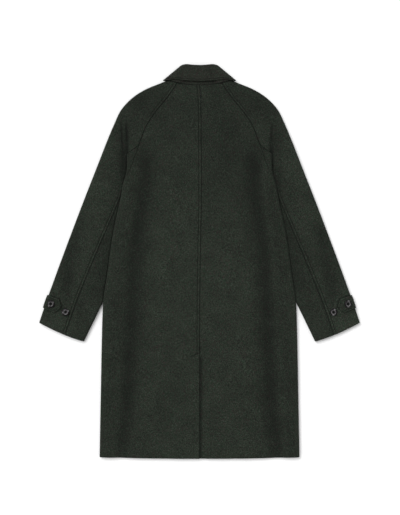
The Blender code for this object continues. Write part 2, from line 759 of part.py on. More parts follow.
def front_sleeve_row(side, along):
    """One section of the sleeve's front half: under the arm, round the inner edge and up to the seam."""
    width = sleeve_section(along)[2]
    seam = arm_seam(along, width)
    row = [to_world(side, sleeve_point(along, -1, across)) for across in across_front(along, SLEEVE_FLATS)]
    row[0].z -= SEAM_GAP / 2
    reach = width - seam - SEAM_GAP
    if reach < LEAST_STRIP:
        row[-1].z -= SEAM_GAP / 2 * beside_body(along)
        return row + [None] * ARM_STRIPS
    crowd = ARM_STRIP_CROWD if reach > 3 * EDGE_ROUND else NARROW_STRIP_CROWD
    for i in range(ARM_STRIPS):
        inset = reach * ((i + 1) / ARM_STRIPS) ** crowd
        row.append(to_world(side, sleeve_point(along, 1, width - inset)))
    return row


def make_sleeve_front(side, name):
    rows = [front_sleeve_row(side, along) for along in sleeve_alongs()]
    return cloth_piece(name, close_strips(rows, ARM_STRIPS), CLOTH, flip=side > 0)


# Collar

def leaf_side(share):
    """Half-width and drop of the leaf's folded side, from the roll at 0 to its lower edge at 1."""
    half = blend(ROLL_HALF, LEAF_TIP_HALF, share)
    drop = blend(ROLL_DROP - ROLL_END_RISE, leaf_edge_drop(LEAF_TIP_HALF), share)
    return half, drop


def leaf_top(side_share, share):
    """Half and drop on the back of the leaf; side_share runs from -1 to 1 across it."""
    half = side_share * (leaf_side(share)[0] - COLLAR_SIDE_INSET)
    roll = ROLL_DROP - ROLL_END_RISE * side_share ** 2
    edge = leaf_edge_drop(abs(side_share) * LEAF_TIP_HALF)
    return half, blend(roll, edge, share)


def wing(along, share):
    """Half and drop on a wing under the fronts; along runs from the folded side to the front edge."""
    side_half, side_drop = leaf_side(share)
    start = Vector((side_half - COLLAR_SIDE_INSET, side_drop))
    bend, end = [Vector((blend(roll.half, edge.half, share), blend(roll.drop, edge.drop, share)))
                 for roll, edge in (WING_BEND, WING_END)]
    return start * (1 - along) ** 2 + bend * (2 * along * (1 - along)) + end * along ** 2


def leaf_profile():
    """The leaf's section from its lower edge over the roll, as rows of spread, tuck and depth.

    spread is a share of the leaf below its roll, tuck a distance from the roll's top and depth a
    distance in from the leaf's face.
    """
    profile = [(spread, ROLL_RADIUS, 0.0) for spread in LEAF_SPREADS]
    for turn in HALF_TURN:
        profile.append((0.0, ROLL_RADIUS * (1 - math.sin(turn)), ROLL_RADIUS * (1 - math.cos(turn))))
    return profile


def leaf_share(spread, tuck, start, end, slant):
    """Share of the leaf's width at a spread and tuck, between its roll and its lower edge.

    slant lengthens the roll's turn where the leaf runs down from the roll at a slant.
    """
    width = math.hypot(end[0] - start[0], end[1] - start[1])
    return (tuck * slant + spread * (width - ROLL_RADIUS * slant)) / width


def leaf_row(spread, tuck, depth, lip=False):
    """One line of the collar leaf, from the left wing over the back to the right wing."""
    right = []
    for across in evenly(0.0, 1.0, LEAF_COLUMNS):
        slant = blend(1.0, LEAF_SLANT, across ** 2)
        share = leaf_share(spread, tuck, leaf_top(across, 0.0), leaf_top(across, 1.0), slant)
        half, drop = leaf_top(across, share)
        right.append(None if lip else place(1, half, drop, COLLAR_TOP - depth))
    side_half, side_drop = leaf_side(leaf_share(spread, tuck, leaf_side(0.0), leaf_side(1.0), LEAF_SLANT))
    for turn in HALF_TURN[:-1]:
        half = side_half - COLLAR_SIDE_INSET + (COLLAR_SIDE_ROUND - depth) * math.sin(turn) * LEAF_SLANT
        height = COLLAR_SIDE_ROUND + (COLLAR_SIDE_ROUND - depth) * math.cos(turn)
        right.append(None if lip else place(1, half, side_drop, height))
    for along in WING_SPOTS:
        slant = blend(LEAF_SLANT, 1.0, smooth(along / WING_SLANT_END))
        spot = wing(along, leaf_share(spread, tuck, wing(along, 0.0), wing(along, 1.0), slant))
        hidden = lip and along < WING_LIP_START
        right.append(None if hidden else place(1, spot.x, spot.y, depth))
    left = [None if point is None else Vector((-point.x, point.y, point.z)) for point in right[:0:-1]]
    return left + right


def make_collar_leaf(name):
    rows = [leaf_row(spread, tuck, depth) for spread, tuck, depth in leaf_profile()]
    rows.append(leaf_row(0.0, ROLL_RADIUS + WING_LIP, 2 * ROLL_RADIUS, lip=True))
    return cloth_piece(name, rows, COLLAR_CLOTH, flip=False, upright=NEVER_UPRIGHT)


def stand_rise(half, drop):
    """How far the stand lifts towards its ends, where it lies over the tops of the sleeves."""
    return STAND_OVER * smooth((abs(half) - raglan(drop) + STAND_RISE_IN) / STAND_RISE_LENGTH)


def make_collar_stand(name):
    """The stand behind the leaf, from the roll down to the neck seam."""
    rows = []
    for share in evenly(0.0, 1.0, STAND_ROWS):
        row = []
        for across in evenly(-1.0, 1.0, STAND_COLUMNS):
            half = across * blend(ROLL_HALF - COLLAR_SIDE_INSET, STAND_HALF, share)
            roll = ROLL_DROP - ROLL_END_RISE * across ** 2 + ROLL_RADIUS + 2 * SEAM_GAP
            seam = -NECK_LIFT * (half / NECK_HALF) ** 2 - SEAM_GAP
            drop = blend(roll, seam, share)
            row.append(place(1, half, drop, BODY_RISE + stand_rise(half, drop)))
        rows.append(row)
    return cloth_piece(name, rows, COLLAR_CLOTH, flip=True)


# Cuff tabs and buttons

def ring_at(across):
    """Distance round the outer edge to a place on the flat cloth beyond it."""
    return across + EDGE_ROUND * (math.pi / 2 - 1)


def tab_along(across):
    """Place along the sleeve of the tab's middle line, which runs square in from the outer edge."""
    return TAB_ALONG - across * TAB_FRAME[3]


def tab_surface(along, ring):
    """A point on the tab's outer face, out from the sleeve's own face."""
    return ring_point(along, ring) + ring_normal(along, ring) * (SIDE_GAP + TAB_CLOTH)


def make_tab(side, name):
    quarter = EDGE_ROUND * math.pi / 2
    rings = [-ring_at(reach) for reach in evenly(TAB_UNDER, 2 * EDGE_ROUND, TAB_UNDER_ROWS)]
    rings += evenly(-quarter, quarter, TAB_EDGE_ROWS)
    rings += [ring_at(reach) for reach in evenly(2 * EDGE_ROUND, TAB_STRAIGHT, TAB_TOP_ROWS)]
    rings += [ring_at(reach) for reach in evenly(TAB_STRAIGHT, TAB_REACH, TAB_POINT_ROWS)[1:]]
    rows = []
    for across in TAB_ACROSS:
        row = []
        for ring in rings:
            into_point = max(0.0, (ring - ring_at(TAB_STRAIGHT)) / (TAB_REACH - TAB_STRAIGHT))
            narrow = blend(1.0, TAB_POINT, into_point)
            along = tab_along(ring_across(ring)) + across * narrow * TAB_WIDTH / 2
            row.append(to_world(side, tab_surface(along, ring)))
        rows.append(row)
    return cloth_piece(name, rows, TAB_CLOTH, flip=side < 0)


def make_button(side, name, along, across, on_tab):
    """A round button with a rolled rim and a dished middle, square to the cloth it lies on."""
    ring = ring_at(across)
    normal = ring_normal(along, ring)
    stands_off = BUTTON_GAP + (SIDE_GAP + TAB_CLOTH if on_tab else 0.0)
    foot = ring_point(along, ring) + normal * stands_off
    centre = to_world(side, foot)
    outward = Vector((side * normal.x, -normal.y, normal.z))
    if outward.z < 0:
        outward.negate()
    turned = outward.to_track_quat("Z", "Y")
    mesh = bmesh.new()
    rings = []
    for row in BUTTON_SECTION:
        circle = []
        for i in range(BUTTON_SIDES):
            angle = 2 * math.pi * i / BUTTON_SIDES
            spot = Vector((math.cos(angle), math.sin(angle), 0.0)) * (row.radius * BUTTON_RADIUS)
            spot.z = row.height * BUTTON_HEIGHT
            circle.append(mesh.verts.new(centre + turned @ spot))
        rings.append(circle)
    for upper, lower in zip(rings, rings[1:]):
        for i in range(BUTTON_SIDES):
            after = (i + 1) % BUTTON_SIDES
            mesh.faces.new([upper[i], lower[i], lower[after], upper[after]])
    mesh.faces.new(rings[0])
    mesh.faces.new(reversed(rings[-1]))
    data = bpy.data.meshes.new(name)
    mesh.to_mesh(data)
    mesh.free()
    return add_piece(name, data, material(name, HORN, HORN_ROUGHNESS))


for old in list(bpy.data.objects):
    bpy.data.objects.remove(old)

TAB_FRAME = tab_frame()
for side, word in ((-1, "left"), (1, "right")):
    make_back(side, "back_" + word)
    make_front(side, "front_" + word)
    make_sleeve_back(side, "sleeve_back_" + word)
    make_sleeve_front(side, "sleeve_front_" + word)
    make_tab(side, "tab_" + word)
    make_button(side, "button_tab_" + word, tab_along(TAB_BUTTON_IN), TAB_BUTTON_IN, on_tab=True)
    sleeve_spot = SLEEVE_LENGTH - SLEEVE_BUTTON_FROM_CUFF
    make_button(side, "button_sleeve_" + word, sleeve_spot, SLEEVE_BUTTON_IN, on_tab=False)
make_collar_leaf("collar_leaf")
make_collar_stand("collar_stand")
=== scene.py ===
"""Looks of a knee-length raglan coat in dark green melange wool, laid flat with its back uppermost.

Each cloth solid is replaced by a finer shell on the same form, with the folds, creases, seams and rows of
stitching that show on the coat. Places are given as a maker measures them: half is the distance out from
the centre back, and drop is the distance down from the nape, where the collar meets the centre back seam.
"""
import math
from collections import namedtuple

import bmesh
import bpy
import numpy as np
from mathutils import Matrix, Vector


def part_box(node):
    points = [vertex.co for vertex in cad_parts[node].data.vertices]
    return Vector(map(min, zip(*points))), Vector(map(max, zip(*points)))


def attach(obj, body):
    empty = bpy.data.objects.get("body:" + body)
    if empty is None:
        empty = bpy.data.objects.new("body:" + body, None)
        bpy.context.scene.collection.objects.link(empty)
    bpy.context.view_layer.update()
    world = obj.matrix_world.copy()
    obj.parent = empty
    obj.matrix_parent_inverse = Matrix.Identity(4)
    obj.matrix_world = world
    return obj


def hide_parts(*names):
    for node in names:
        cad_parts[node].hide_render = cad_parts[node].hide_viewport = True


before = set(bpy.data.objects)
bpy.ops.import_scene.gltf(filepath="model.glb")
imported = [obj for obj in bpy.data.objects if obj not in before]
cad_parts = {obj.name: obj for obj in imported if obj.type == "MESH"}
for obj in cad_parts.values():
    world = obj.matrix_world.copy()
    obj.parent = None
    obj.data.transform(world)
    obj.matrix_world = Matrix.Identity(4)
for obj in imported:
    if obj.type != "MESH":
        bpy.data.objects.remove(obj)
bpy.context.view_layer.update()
BODY = "root"

# Main sizes, in metres
BACK_LENGTH = 1.0640
COLLAR_RISE = 0.0590
NAPE_Y = (BACK_LENGTH - COLLAR_RISE) / 2
CLOTH = 0.0025
COLLAR_CLOTH = 0.0025
TAB_CLOTH = 0.0035
SEAM_GAP = 0.0003
SIDE_GAP = 0.0006
SIDE_TOUCH = -0.0003
BODY_RISE = 0.013
EDGE_ROUND = 0.0065

# Neck, armpit, side seam and hem
NECK_HALF = 0.0640
NECK_LIFT = 0.007
ARMPIT_DROP = 0.172
ARMPIT_HALF = 0.1735
UNDERARM_END_DROP = 0.1955
SEAM_AT_EDGE_DROP = 0.275
HEM_SAG = 0.0045
HEM_BEND_TOP = 0.90
HEM_BEND_LENGTH = 0.16
NECK_BEND_LENGTH = 0.10
SEAM_TURN = 0.020
CORNER_CLEAR = 0.0015
SEAM_TURN_GAP = 0.0024
SEAM_TURN_LENGTH = 0.060
HEM_DROP = BACK_LENGTH - HEM_SAG

# Laps
VENT_TOP = 0.764
VENT_UNDERLAY = 0.050
VENT_STEP = CLOTH + 0.0005
VENT_STEP_LEAD = 0.060
VENT_STEP_FLAT = 0.004
VENT_STEP_FADE = 0.030
FRONT_LAP = 0.040
LAP_LIFT = CLOTH + 0.0004
LAP_LEVEL_HALF = 0.078
LAP_FADE = 0.032
FRONT_NECK_DROP = 0.060
FRONT_NECK_POWER = 2.2
FRONT_NECK_LENGTH = 0.22

# Collar
ROLL_RADIUS = 0.0047
COLLAR_TOP = BODY_RISE + 2 * ROLL_RADIUS - COLLAR_CLOTH
COLLAR_SIDE_ROUND = COLLAR_TOP / 2
ROLL_HALF = 0.0495
LEAF_TIP_HALF = 0.1055
ROLL_DROP = -0.0567
ROLL_END_RISE = 0.0023
WING_LIFT = COLLAR_CLOTH + 0.0006
WING_CLEAR_HALF = 0.142
WING_CLEAR_HALF_FADE = 0.030
WING_CLEAR_DROP = 0.150
WING_CLEAR_DROP_FADE = 0.048
WING_LIP = 0.0120
WING_LIP_START = 0.3
WING_SLANT_END = 0.5
STAND_HALF = 0.086
STAND_OVER = COLLAR_CLOTH + 0.0010
STAND_RISE_IN = 0.020
STAND_RISE_LENGTH = 0.012
LEAF_SLANT = 1.57
COLLAR_SIDE_INSET = COLLAR_SIDE_ROUND * LEAF_SLANT

# Cuff tab and buttons
TAB_FROM_CUFF = 0.0630
TAB_WIDTH = 0.0385
TAB_STRAIGHT = 0.032
TAB_REACH = 0.0435
TAB_POINT = 0.20
TAB_UNDER = 0.030
TAB_LIFT = TAB_CLOTH + SIDE_GAP
TAB_CLEAR_IN = 0.042
TAB_CLEAR_IN_FADE = 0.024
TAB_CLEAR_BESIDE = 0.036
TAB_CLEAR_BESIDE_FADE = 0.022
BUTTON_RADIUS = 0.0108
BUTTON_HEIGHT = 0.0042
TAB_BUTTON_IN = 0.0155
SLEEVE_BUTTON_IN = 0.0614
SLEEVE_BUTTON_FROM_CUFF = 0.0582

# Where each line of the cut lies on the laid coat
LineRow = namedtuple("LineRow", "drop half")
BODY_EDGE = [
    LineRow(drop=0.170, half=0.2060),
    LineRow(drop=0.235, half=0.2070),
    LineRow(drop=0.282, half=0.2180),
    LineRow(drop=0.325, half=0.2260),
    LineRow(drop=0.420, half=0.2465),
    LineRow(drop=0.540, half=0.2635),
    LineRow(drop=0.630, half=0.2758),
    LineRow(drop=0.903, half=0.2820),
    LineRow(drop=1.064, half=0.2850),
]
NECK_AND_RAGLAN = [
    LineRow(drop=-0.0275, half=0.0560),
    LineRow(drop=-0.007, half=NECK_HALF),
    LineRow(drop=0.031, half=0.0885),
    LineRow(drop=0.074, half=0.1230),
    LineRow(drop=0.116, half=0.1510),
    LineRow(drop=ARMPIT_DROP, half=ARMPIT_HALF),
]
LEAF_EDGE = [
    LineRow(drop=-0.0100, half=0.000),
    LineRow(drop=-0.0125, half=0.054),
    LineRow(drop=-0.0150, half=0.078),
    LineRow(drop=-0.0125, half=LEAF_TIP_HALF),
]
WING_BEND = [LineRow(drop=0.020, half=0.045), LineRow(drop=0.030, half=0.100)]
WING_END = [LineRow(drop=0.048, half=0.004), LineRow(drop=0.085, half=0.085)]

# Sections across the sleeve, from the raglan seam to the cuff
SleeveRow = namedtuple("SleeveRow", "outer_half outer_drop inner_drop")
SLEEVE = [
    SleeveRow(outer_half=0.056, outer_drop=-0.0275, inner_drop=ARMPIT_DROP),
    SleeveRow(outer_half=0.110, outer_drop=-0.0060, inner_drop=0.176),
    SleeveRow(outer_half=0.151, outer_drop=0.0105, inner_drop=0.180),
    SleeveRow(outer_half=0.1905, outer_drop=0.0352, inner_drop=0.185),
    SleeveRow(outer_half=0.224, outer_drop=0.071, inner_drop=0.190),
    SleeveRow(outer_half=0.243, outer_drop=0.110, inner_drop=UNDERARM_END_DROP),
    SleeveRow(outer_half=0.262, outer_drop=0.155, inner_drop=0.212),
    SleeveRow(outer_half=0.2846, outer_drop=0.213, inner_drop=0.243),
    SleeveRow(outer_half=0.332, outer_drop=0.334, inner_drop=0.372),
    SleeveRow(outer_half=0.3836, outer_drop=0.470, inner_drop=0.520),
    SleeveRow(outer_half=0.4248, outer_drop=0.583, inner_drop=0.637),
    SleeveRow(outer_half=0.4572, outer_drop=0.6762, inner_drop=0.7302),
]
CUFF_INNER_HALF = 0.3295
CUFF_BOW = 0.0045
CUFF_BOW_LENGTH = 0.12
INNER_EDGE_SLOPE = 0.486
TUBE_START_LENGTH = 0.040
ARM_SEAM_TOP = 0.095
ARM_SEAM_CUFF = 0.080
ARM_SEAM_START_DROP = 0.30
ARM_SEAM_BEND_ALONG = 0.35
RAGLAN_BLEND = 0.25

# Soft hollows and rolls of the upper cloth, each along its own line; dark is how much painted shade each
# fold gets
Fold = namedtuple("Fold", "on rise dark inner outer fade line")
FOLDS = [
    Fold(on="body", rise=-0.0055, dark=0.48, inner=0.031, outer=0.021, fade=0.10, line=[
        LineRow(drop=0.130, half=0.157),
        LineRow(drop=0.270, half=0.158),
        LineRow(drop=0.412, half=0.176),
        LineRow(drop=0.555, half=0.190),
        LineRow(drop=0.726, half=0.198),
        LineRow(drop=0.897, half=0.206),
        LineRow(drop=1.120, half=0.234),
    ]),
    Fold(on="body", rise=0.0030, dark=0.17, inner=0.022, outer=0.030, fade=0.10, line=[
        LineRow(drop=0.200, half=0.192),
        LineRow(drop=0.420, half=0.214),
        LineRow(drop=0.738, half=0.247),
        LineRow(drop=1.200, half=0.266),
    ]),
    Fold(on="sleeve", rise=-0.0045, dark=0.24, inner=0.009, outer=0.030, fade=0.07, line=[
        LineRow(drop=0.095, half=0.211),
        LineRow(drop=0.170, half=0.208),
        LineRow(drop=0.235, half=0.209),
        LineRow(drop=0.325, half=0.2275),
        LineRow(drop=0.540, half=0.264),
        LineRow(drop=0.640, half=0.278),
    ]),
    Fold(on="sleeve", rise=-0.0030, dark=0.30, inner=0.020, outer=0.018, fade=0.08, line=[
        LineRow(drop=0.360, half=0.330),
        LineRow(drop=0.480, half=0.362),
        LineRow(drop=0.660, half=0.385),
    ]),
    Fold(on="sleeve", rise=0.0022, dark=0.0, inner=0.030, outer=0.030, fade=0.10, line=[
        LineRow(drop=0.120, half=0.262),
        LineRow(drop=0.300, half=0.292),
        LineRow(drop=0.540, half=0.325),
    ]),
]

# Smaller creases: side is -1 for the wearer's left, 1 for the right and 0 for both; dark is how much
# painted shade each crease gets
Crease = namedtuple("Crease", "on side rise dark width start end")
CREASES = [
    Crease("body", -1, -0.0010, 0.26, 0.0030, LineRow(0.957, 0.020), LineRow(0.972, 0.053)),
    Crease("body", -1, -0.0006, 0.16, 0.0026, LineRow(0.967, 0.0155), LineRow(1.052, 0.0155)),
    Crease("body", -1, 0.0014, 0.0, 0.0180, LineRow(0.640, 0.030), LineRow(0.760, 0.052)),
    Crease("body", -1, -0.0012, 0.05, 0.0160, LineRow(0.090, 0.105), LineRow(0.170, 0.075)),
    Crease("body", -1, 0.0014, 0.0, 0.0220, LineRow(0.300, 0.070), LineRow(0.520, 0.095)),
    Crease("body", -1, -0.0010, 0.03, 0.0140, LineRow(0.800, 0.110), LineRow(0.930, 0.080)),
    Crease("body", 1, -0.0013, 0.05, 0.0200, LineRow(0.120, 0.070), LineRow(0.270, 0.110)),
    Crease("body", 1, 0.0012, 0.0, 0.0240, LineRow(0.420, 0.080), LineRow(0.620, 0.070)),
    Crease("body", 1, -0.0009, 0.03, 0.0150, LineRow(0.520, 0.035), LineRow(0.640, 0.055)),
    Crease("body", 1, -0.0011, 0.04, 0.0160, LineRow(0.850, 0.040), LineRow(0.960, 0.065)),
    Crease("body", 1, 0.0010, 0.0, 0.0160, LineRow(0.720, 0.120), LineRow(0.900, 0.150)),
    Crease("sleeve", -1, -0.0014, 0.52, 0.0046, LineRow(0.105, 0.2232), LineRow(0.225, 0.2165)),
    Crease("sleeve", -1, -0.0016, 0.60, 0.0046, LineRow(0.105, 0.2085), LineRow(0.165, 0.2057)),
    Crease("sleeve", -1, -0.0018, 0.68, 0.0058, LineRow(0.165, 0.2057), LineRow(0.250, 0.2088)),
    Crease("sleeve", -1, -0.0006, 0.44, 0.0105, LineRow(0.165, 0.2140), LineRow(0.270, 0.2190)),
    Crease("sleeve", 1, -0.0014, 0.42, 0.0044, LineRow(0.110, 0.2075), LineRow(0.165, 0.2040)),
    Crease("sleeve", 1, -0.0018, 0.62, 0.0052, LineRow(0.175, 0.2045), LineRow(0.250, 0.2090)),
    Crease("sleeve", 1, -0.0006, 0.24, 0.0090, LineRow(0.235, 0.2170), LineRow(0.300, 0.2280)),
    Crease("sleeve", -1, -0.0010, 0.06, 0.0120, LineRow(0.045, 0.150), LineRow(0.095, 0.190)),
    Crease("sleeve", 1, -0.0012, 0.06, 0.0110, LineRow(0.060, 0.160), LineRow(0.110, 0.205)),
    Crease("sleeve", -1, -0.0012, 0.08, 0.0100, LineRow(0.430, 0.262), LineRow(0.500, 0.300)),
    Crease("sleeve", 1, -0.0012, 0.08, 0.0100, LineRow(0.405, 0.255), LineRow(0.470, 0.292)),
    Crease("sleeve", -1, -0.0009, 0.06, 0.0080, LineRow(0.545, 0.372), LineRow(0.575, 0.345)),
    Crease("sleeve", 1, -0.0009, 0.06, 0.0080, LineRow(0.520, 0.372), LineRow(0.560, 0.340)),
    Crease("front", -1, 0.0009, 0.06, 0.0090, LineRow(0.330, 0.070), LineRow(0.480, 0.110)),
    Crease("front", -1, 0.0007, 0.05, 0.0070, LineRow(0.720, 0.140), LineRow(0.900, 0.120)),
    Crease("front", 1, 0.0008, 0.06, 0.0080, LineRow(0.260, 0.120), LineRow(0.420, 0.095)),
    Crease("front", 1, 0.0010, 0.06, 0.0100, LineRow(0.600, 0.090), LineRow(0.830, 0.130)),
    Crease("under sleeve", -1, 0.0008, 0.06, 0.0070, LineRow(0.300, 0.270), LineRow(0.350, 0.310)),
    Crease("under sleeve", 1, 0.0007, 0.06, 0.0060, LineRow(0.330, 0.265), LineRow(0.365, 0.305)),
    Crease("under sleeve", 0, 0.0006, 0.05, 0.0080, LineRow(0.480, 0.300), LineRow(0.520, 0.350)),
]

# Soft patches of painted shade where the cloth lies away from the light, and of painted light where dark is
# below 0
Shade = namedtuple("Shade", "on side dark drop half high wide")
SHADES = [
    Shade(on="body", side=0, dark=0.15, drop=0.060, half=0.080, high=0.170, wide=0.200),
    Shade(on="body", side=1, dark=0.17, drop=0.220, half=0.060, high=0.130, wide=0.110),
    Shade(on="body", side=-1, dark=-0.10, drop=0.530, half=0.060, high=0.150, wide=0.080),
    Shade(on="body", side=1, dark=0.05, drop=0.900, half=0.240, high=0.300, wide=0.050),
    Shade(on="body", side=-1, dark=-0.13, drop=1.030, half=0.225, high=0.060, wide=0.040),
    Shade(on="body", side=1, dark=-0.07, drop=1.030, half=0.210, high=0.060, wide=0.040),
    Shade(on="sleeve", side=0, dark=0.25, drop=0.060, half=0.150, high=0.090, wide=0.100),
    Shade(on="sleeve", side=-1, dark=-0.20, drop=0.370, half=0.280, high=0.110, wide=0.040),
    Shade(on="sleeve", side=1, dark=-0.07, drop=0.320, half=0.262, high=0.080, wide=0.036),
    Shade(on="sleeve", side=-1, dark=-0.12, drop=0.690, half=0.400, high=0.060, wide=0.090),
    Shade(on="sleeve", side=1, dark=-0.18, drop=0.690, half=0.400, high=0.060, wide=0.090),
]

# Painted shade on the strip beyond the seam on the arm, ends of creases, and steps for measuring slopes and
# comparing places
STRIP_SHADE = 0.86
STRIP_FADE = 0.004
CREASE_FADE = 0.5
SLOPE_STEP = 0.002
SAME_PLACE = 1e-6

# Unevenness of the lying cloth: a few long waves across and down it
Wave = namedtuple("Wave", "rise across down shift")
WAVES = [
    Wave(rise=0.00035, across=0.170, down=0.310, shift=0.4),
    Wave(rise=0.00025, across=0.095, down=-0.140, shift=1.9),
    Wave(rise=0.00018, across=-0.061, down=0.083, shift=3.1),
]

# Sewn lines: a ditch along the seam, a stitched line beside it and the ridge of the seam's turnings; darker
# colour along seams and rows, partly flattened nap and partly painted shade of the ditches; painted
# highlights on ridges and on the leaf's and tab's rounded edges; painted shadow round the tab and beside
# the vent; painted shade on the front's corner under the arm
DITCH_DEPTH = 0.0011
DITCH_WIDTH = 0.0011
STITCH_FROM_SEAM = 0.0072
STITCH_DEPTH = 0.0007
STITCH_WIDTH = 0.0011
RIDGE_RISE = 0.0006
RIDGE_WIDTH = 0.0022
PRESS_WIDTH = 0.0016
ROW_PRESS_WIDTH = 0.0015
ROW_PRESS = 0.95
RIDGE_HIGHLIGHT = 0.10
SIDE_SEAM_PRESS = 0.15
SEAM_RELIEF_FADE = 0.006
CORNER_SEAM_FADE = 0.01
UNDERARM_PAST = 0.04
CORNER_SHADE = 0.88
RAGLAN_ROW_END = 0.060
RAGLAN_ROW_FADE = 0.060
EDGE_LIP = 0.0012
EDGE_LIP_WIDTH = 0.0036
LEAF_STITCH_IN = 0.0052
LEAF_SHADE = 0.88
EDGE_HIGHLIGHT = 0.15
EDGE_HIGHLIGHT_WIDTH = 0.0030
STAND_SHADE = 0.85
TAB_STITCH_IN = 0.0046
TAB_SHADOW = 1.0
TAB_SHADOW_WIDTH = 0.0042
TAB_ROW_PRESS = 0.55
TAB_SHADE = 0.95
VENT_TACK = [LineRow(0.7620, 0.0025), LineRow(0.7770, 0.031)]
VENT_TACK_DEPTH = 0.0012
VENT_TACK_WIDTH = 0.0022
VENT_TACK_FADE = 0.1
VENT_TACK_LAST = 0.35
VENT_ROW_LEAD = 0.010
VENT_ROW_FADE = 0.012
VENT_SHADOW_FADE = 0.02
VENT_SHADOW_HALF = 0.002
VENT_SHADOW_WIDTH = 0.011
LEAF_RIDGE_RISE = 0.6 * RIDGE_RISE
LEAF_RIDGE_IN = 0.55 * LEAF_STITCH_IN
LEAF_LIP = 0.8
TAB_LIP = 0.9
TAB_STITCH_DEPTH = 0.8 * STITCH_DEPTH
CENTRE_WANDER = [
    LineRow(drop=-0.007, half=0.0),
    LineRow(drop=0.040, half=0.0040),
    LineRow(drop=0.320, half=0.0056),
    LineRow(drop=0.460, half=0.0030),
    LineRow(drop=0.690, half=0.0004),
    LineRow(drop=BACK_LENGTH, half=0.0005),
]

# Stitches
STITCH_PITCH = 0.0043
STITCH_LENGTH = 0.0034
STITCH_RADIUS = 0.00038
STITCH_SIDES = 6
THREAD_ABOVE = 0.0003
ROW_END_CLEAR = 0.004
ARM_ROW_CLEAR = 0.045
TAB_ROW_START = 0.010
TAB_ROW_CLEAR = 0.001
TAB_ROW_TIP = 1.35 * TAB_STITCH_IN
TAB_ROW_TIP_HALF = 0.0012

# Points along the path of each row of stitches
RAGLAN_PATH = 60
ARM_PATH = 260
LEAF_PATH = 41
TAB_PATH = 16
CENTRE_PATH = 200
TACK_PATH = 12

# How finely the shells are divided
SEAM_COLUMNS = np.array([0.0, 0.6, 1.2, 1.9, 2.8, 3.9, 5.0, 5.9, 6.6, 7.2, 7.8, 8.7, 10.2, 12.5]) / 1000
EDGE_ROWS = np.array([0.0, 0.6, 1.3, 2.2, 3.4, 5.0]) / 1000
BACK_STEP = 0.0042
FINE_STEP = 0.0012
FINE_TACK = (0.750, 0.792)
FINE_CREASE = (0.948, 0.984)
BACK_COLUMNS = 78
SLEEVE_STEP = 0.0036
SLEEVE_COLUMNS = 54
SLEEVE_STRIPS = 18
FRONT_STEP = 0.0065
FRONT_COLUMNS = 44
FRONT_STRIPS = 12
FRONT_CROWDING = 1.3
SLEEVE_CROWDING = 1.4
LEAST_STRIP = 0.002
UPPER_COLUMNS = 4
UNDERLAY_COLUMNS = 13
LAP_COLUMNS = 9
LEAF_COLUMNS = 25
WING_COLUMNS = 19
STAND_COLUMNS = 65
STAND_SHARES = np.concatenate([np.linspace(0, 0.86, 12), np.linspace(0.88, 1.0, 9)])
TAB_STRAIGHT_COLUMNS = 46
TAB_POINT_COLUMNS = 19
TAB_INSETS = np.concatenate([EDGE_ROWS, [0.0062, 0.0080, 0.0105, 0.0145]])
TAB_TURN_REACH = 0.004
LEAST_RING = 1e-5
RING_STEP = 0.0006
TURN_STEPS = np.radians(np.linspace(0, 90, 7))
LEAF_TURNS = np.radians(np.linspace(0, 180, 13))

# How much longer the way round a folded edge is than straight in from it
TURN_EXTRA = EDGE_ROUND * (math.pi / 2 - 1)

# How nearly level cloth must lie to be thickened straight down, and how steep to be thickened level
UPRIGHT = 0.86
NEVER_UPRIGHT = 2.0
UPRIGHT_FADE = 0.10
STEEP = 0.3

# Points of a grid that agree when rounded at this scale are one point
MERGE_SCALE = 1e7

# Colours of the fibres and the thread, and the flecks and nap that the fibres lie in
MOSS = (0.0098, 0.0184, 0.0107)
BARK = (0.0232, 0.0136, 0.0142)
COLLAR_MOSS = (0.0110, 0.0168, 0.0104)
SMOKE = (0.0310, 0.0400, 0.0298)
INK = (0.0046, 0.0062, 0.0047)
THREAD_GREEN = (0.0046, 0.0062, 0.0046)
Fleck = namedtuple("Fleck", "turn stretch scale low high")
BROWN_FLECK = Fleck(turn=0.6, stretch=0.60, scale=1.0, low=0.50, high=0.59)
PALE_FLECK = Fleck(turn=-0.7, stretch=0.50, scale=1.2, low=0.555, high=0.635)
DARK_FLECK = Fleck(turn=0.2, stretch=0.80, scale=0.9, low=0.44, high=0.35)
RAGGED = 0.7
FUZZ_SCALE = 4.5
CLUMP_SCALE = 0.28
CLUMP_SHARE = 0.9
TWILL_SHARE = 0.22

# Ranges of a value and of the shade or roughness that it gives
CLOUD_SHADE = (0.32, 0.68, 0.87, 1.09)
FUZZ_SHADE = (0.25, 0.75, 0.80, 1.20)
PRESS_AND_SHADOW_DARKENING = (0.0, 1.0, 1.0, 0.54)
FUZZ_ROUGHNESS = (0.3, 0.7, 0.86, 0.98)
THREAD_ROUGHNESS = (0.3, 0.7, 0.65, 0.9)
HORN_ROUGHNESS = (0.3, 0.7, 0.28, 0.40)
# How the marble noise breaks up the painted highlight on the buttons
HORN_HIGHLIGHT_MARBLE = (0.42, 0.58, 0.30, 1.0)

# Share of brown fibres in each cloth, colours of the floor and the buttons' horn, and the colour of the
# painted highlight on the buttons
BODY_BARK = 0.75
COLLAR_BARK = 1.0
FLOOR_WHITE = (0.92, 0.92, 0.92)
FLOOR_PALE = (0.89, 0.89, 0.89)
HORN_DARK = (0.0040, 0.0034, 0.0040)
HORN_HIGHLIGHT = (0.1950, 0.1880, 0.1900)

# Camera, in metres: straight above, framing 400 by 515 points of 2.85 mm
POINT = 0.00285
FRAME_HIGH = 515 * POINT
LENS = 70.0
SENSOR = 36.0
AIM = (0.0014, 0.0116, 0.008)

# Light and floor
AIR_LIGHT = 0.70
KEY_LIGHT = 2.2
KEY_FROM = (-0.55, 0.55, 1.0)
KEY_SPREAD = math.radians(40)
FLOOR_HALF = 4.0
FLOOR_BELOW = 0.0003


# Curves and heights

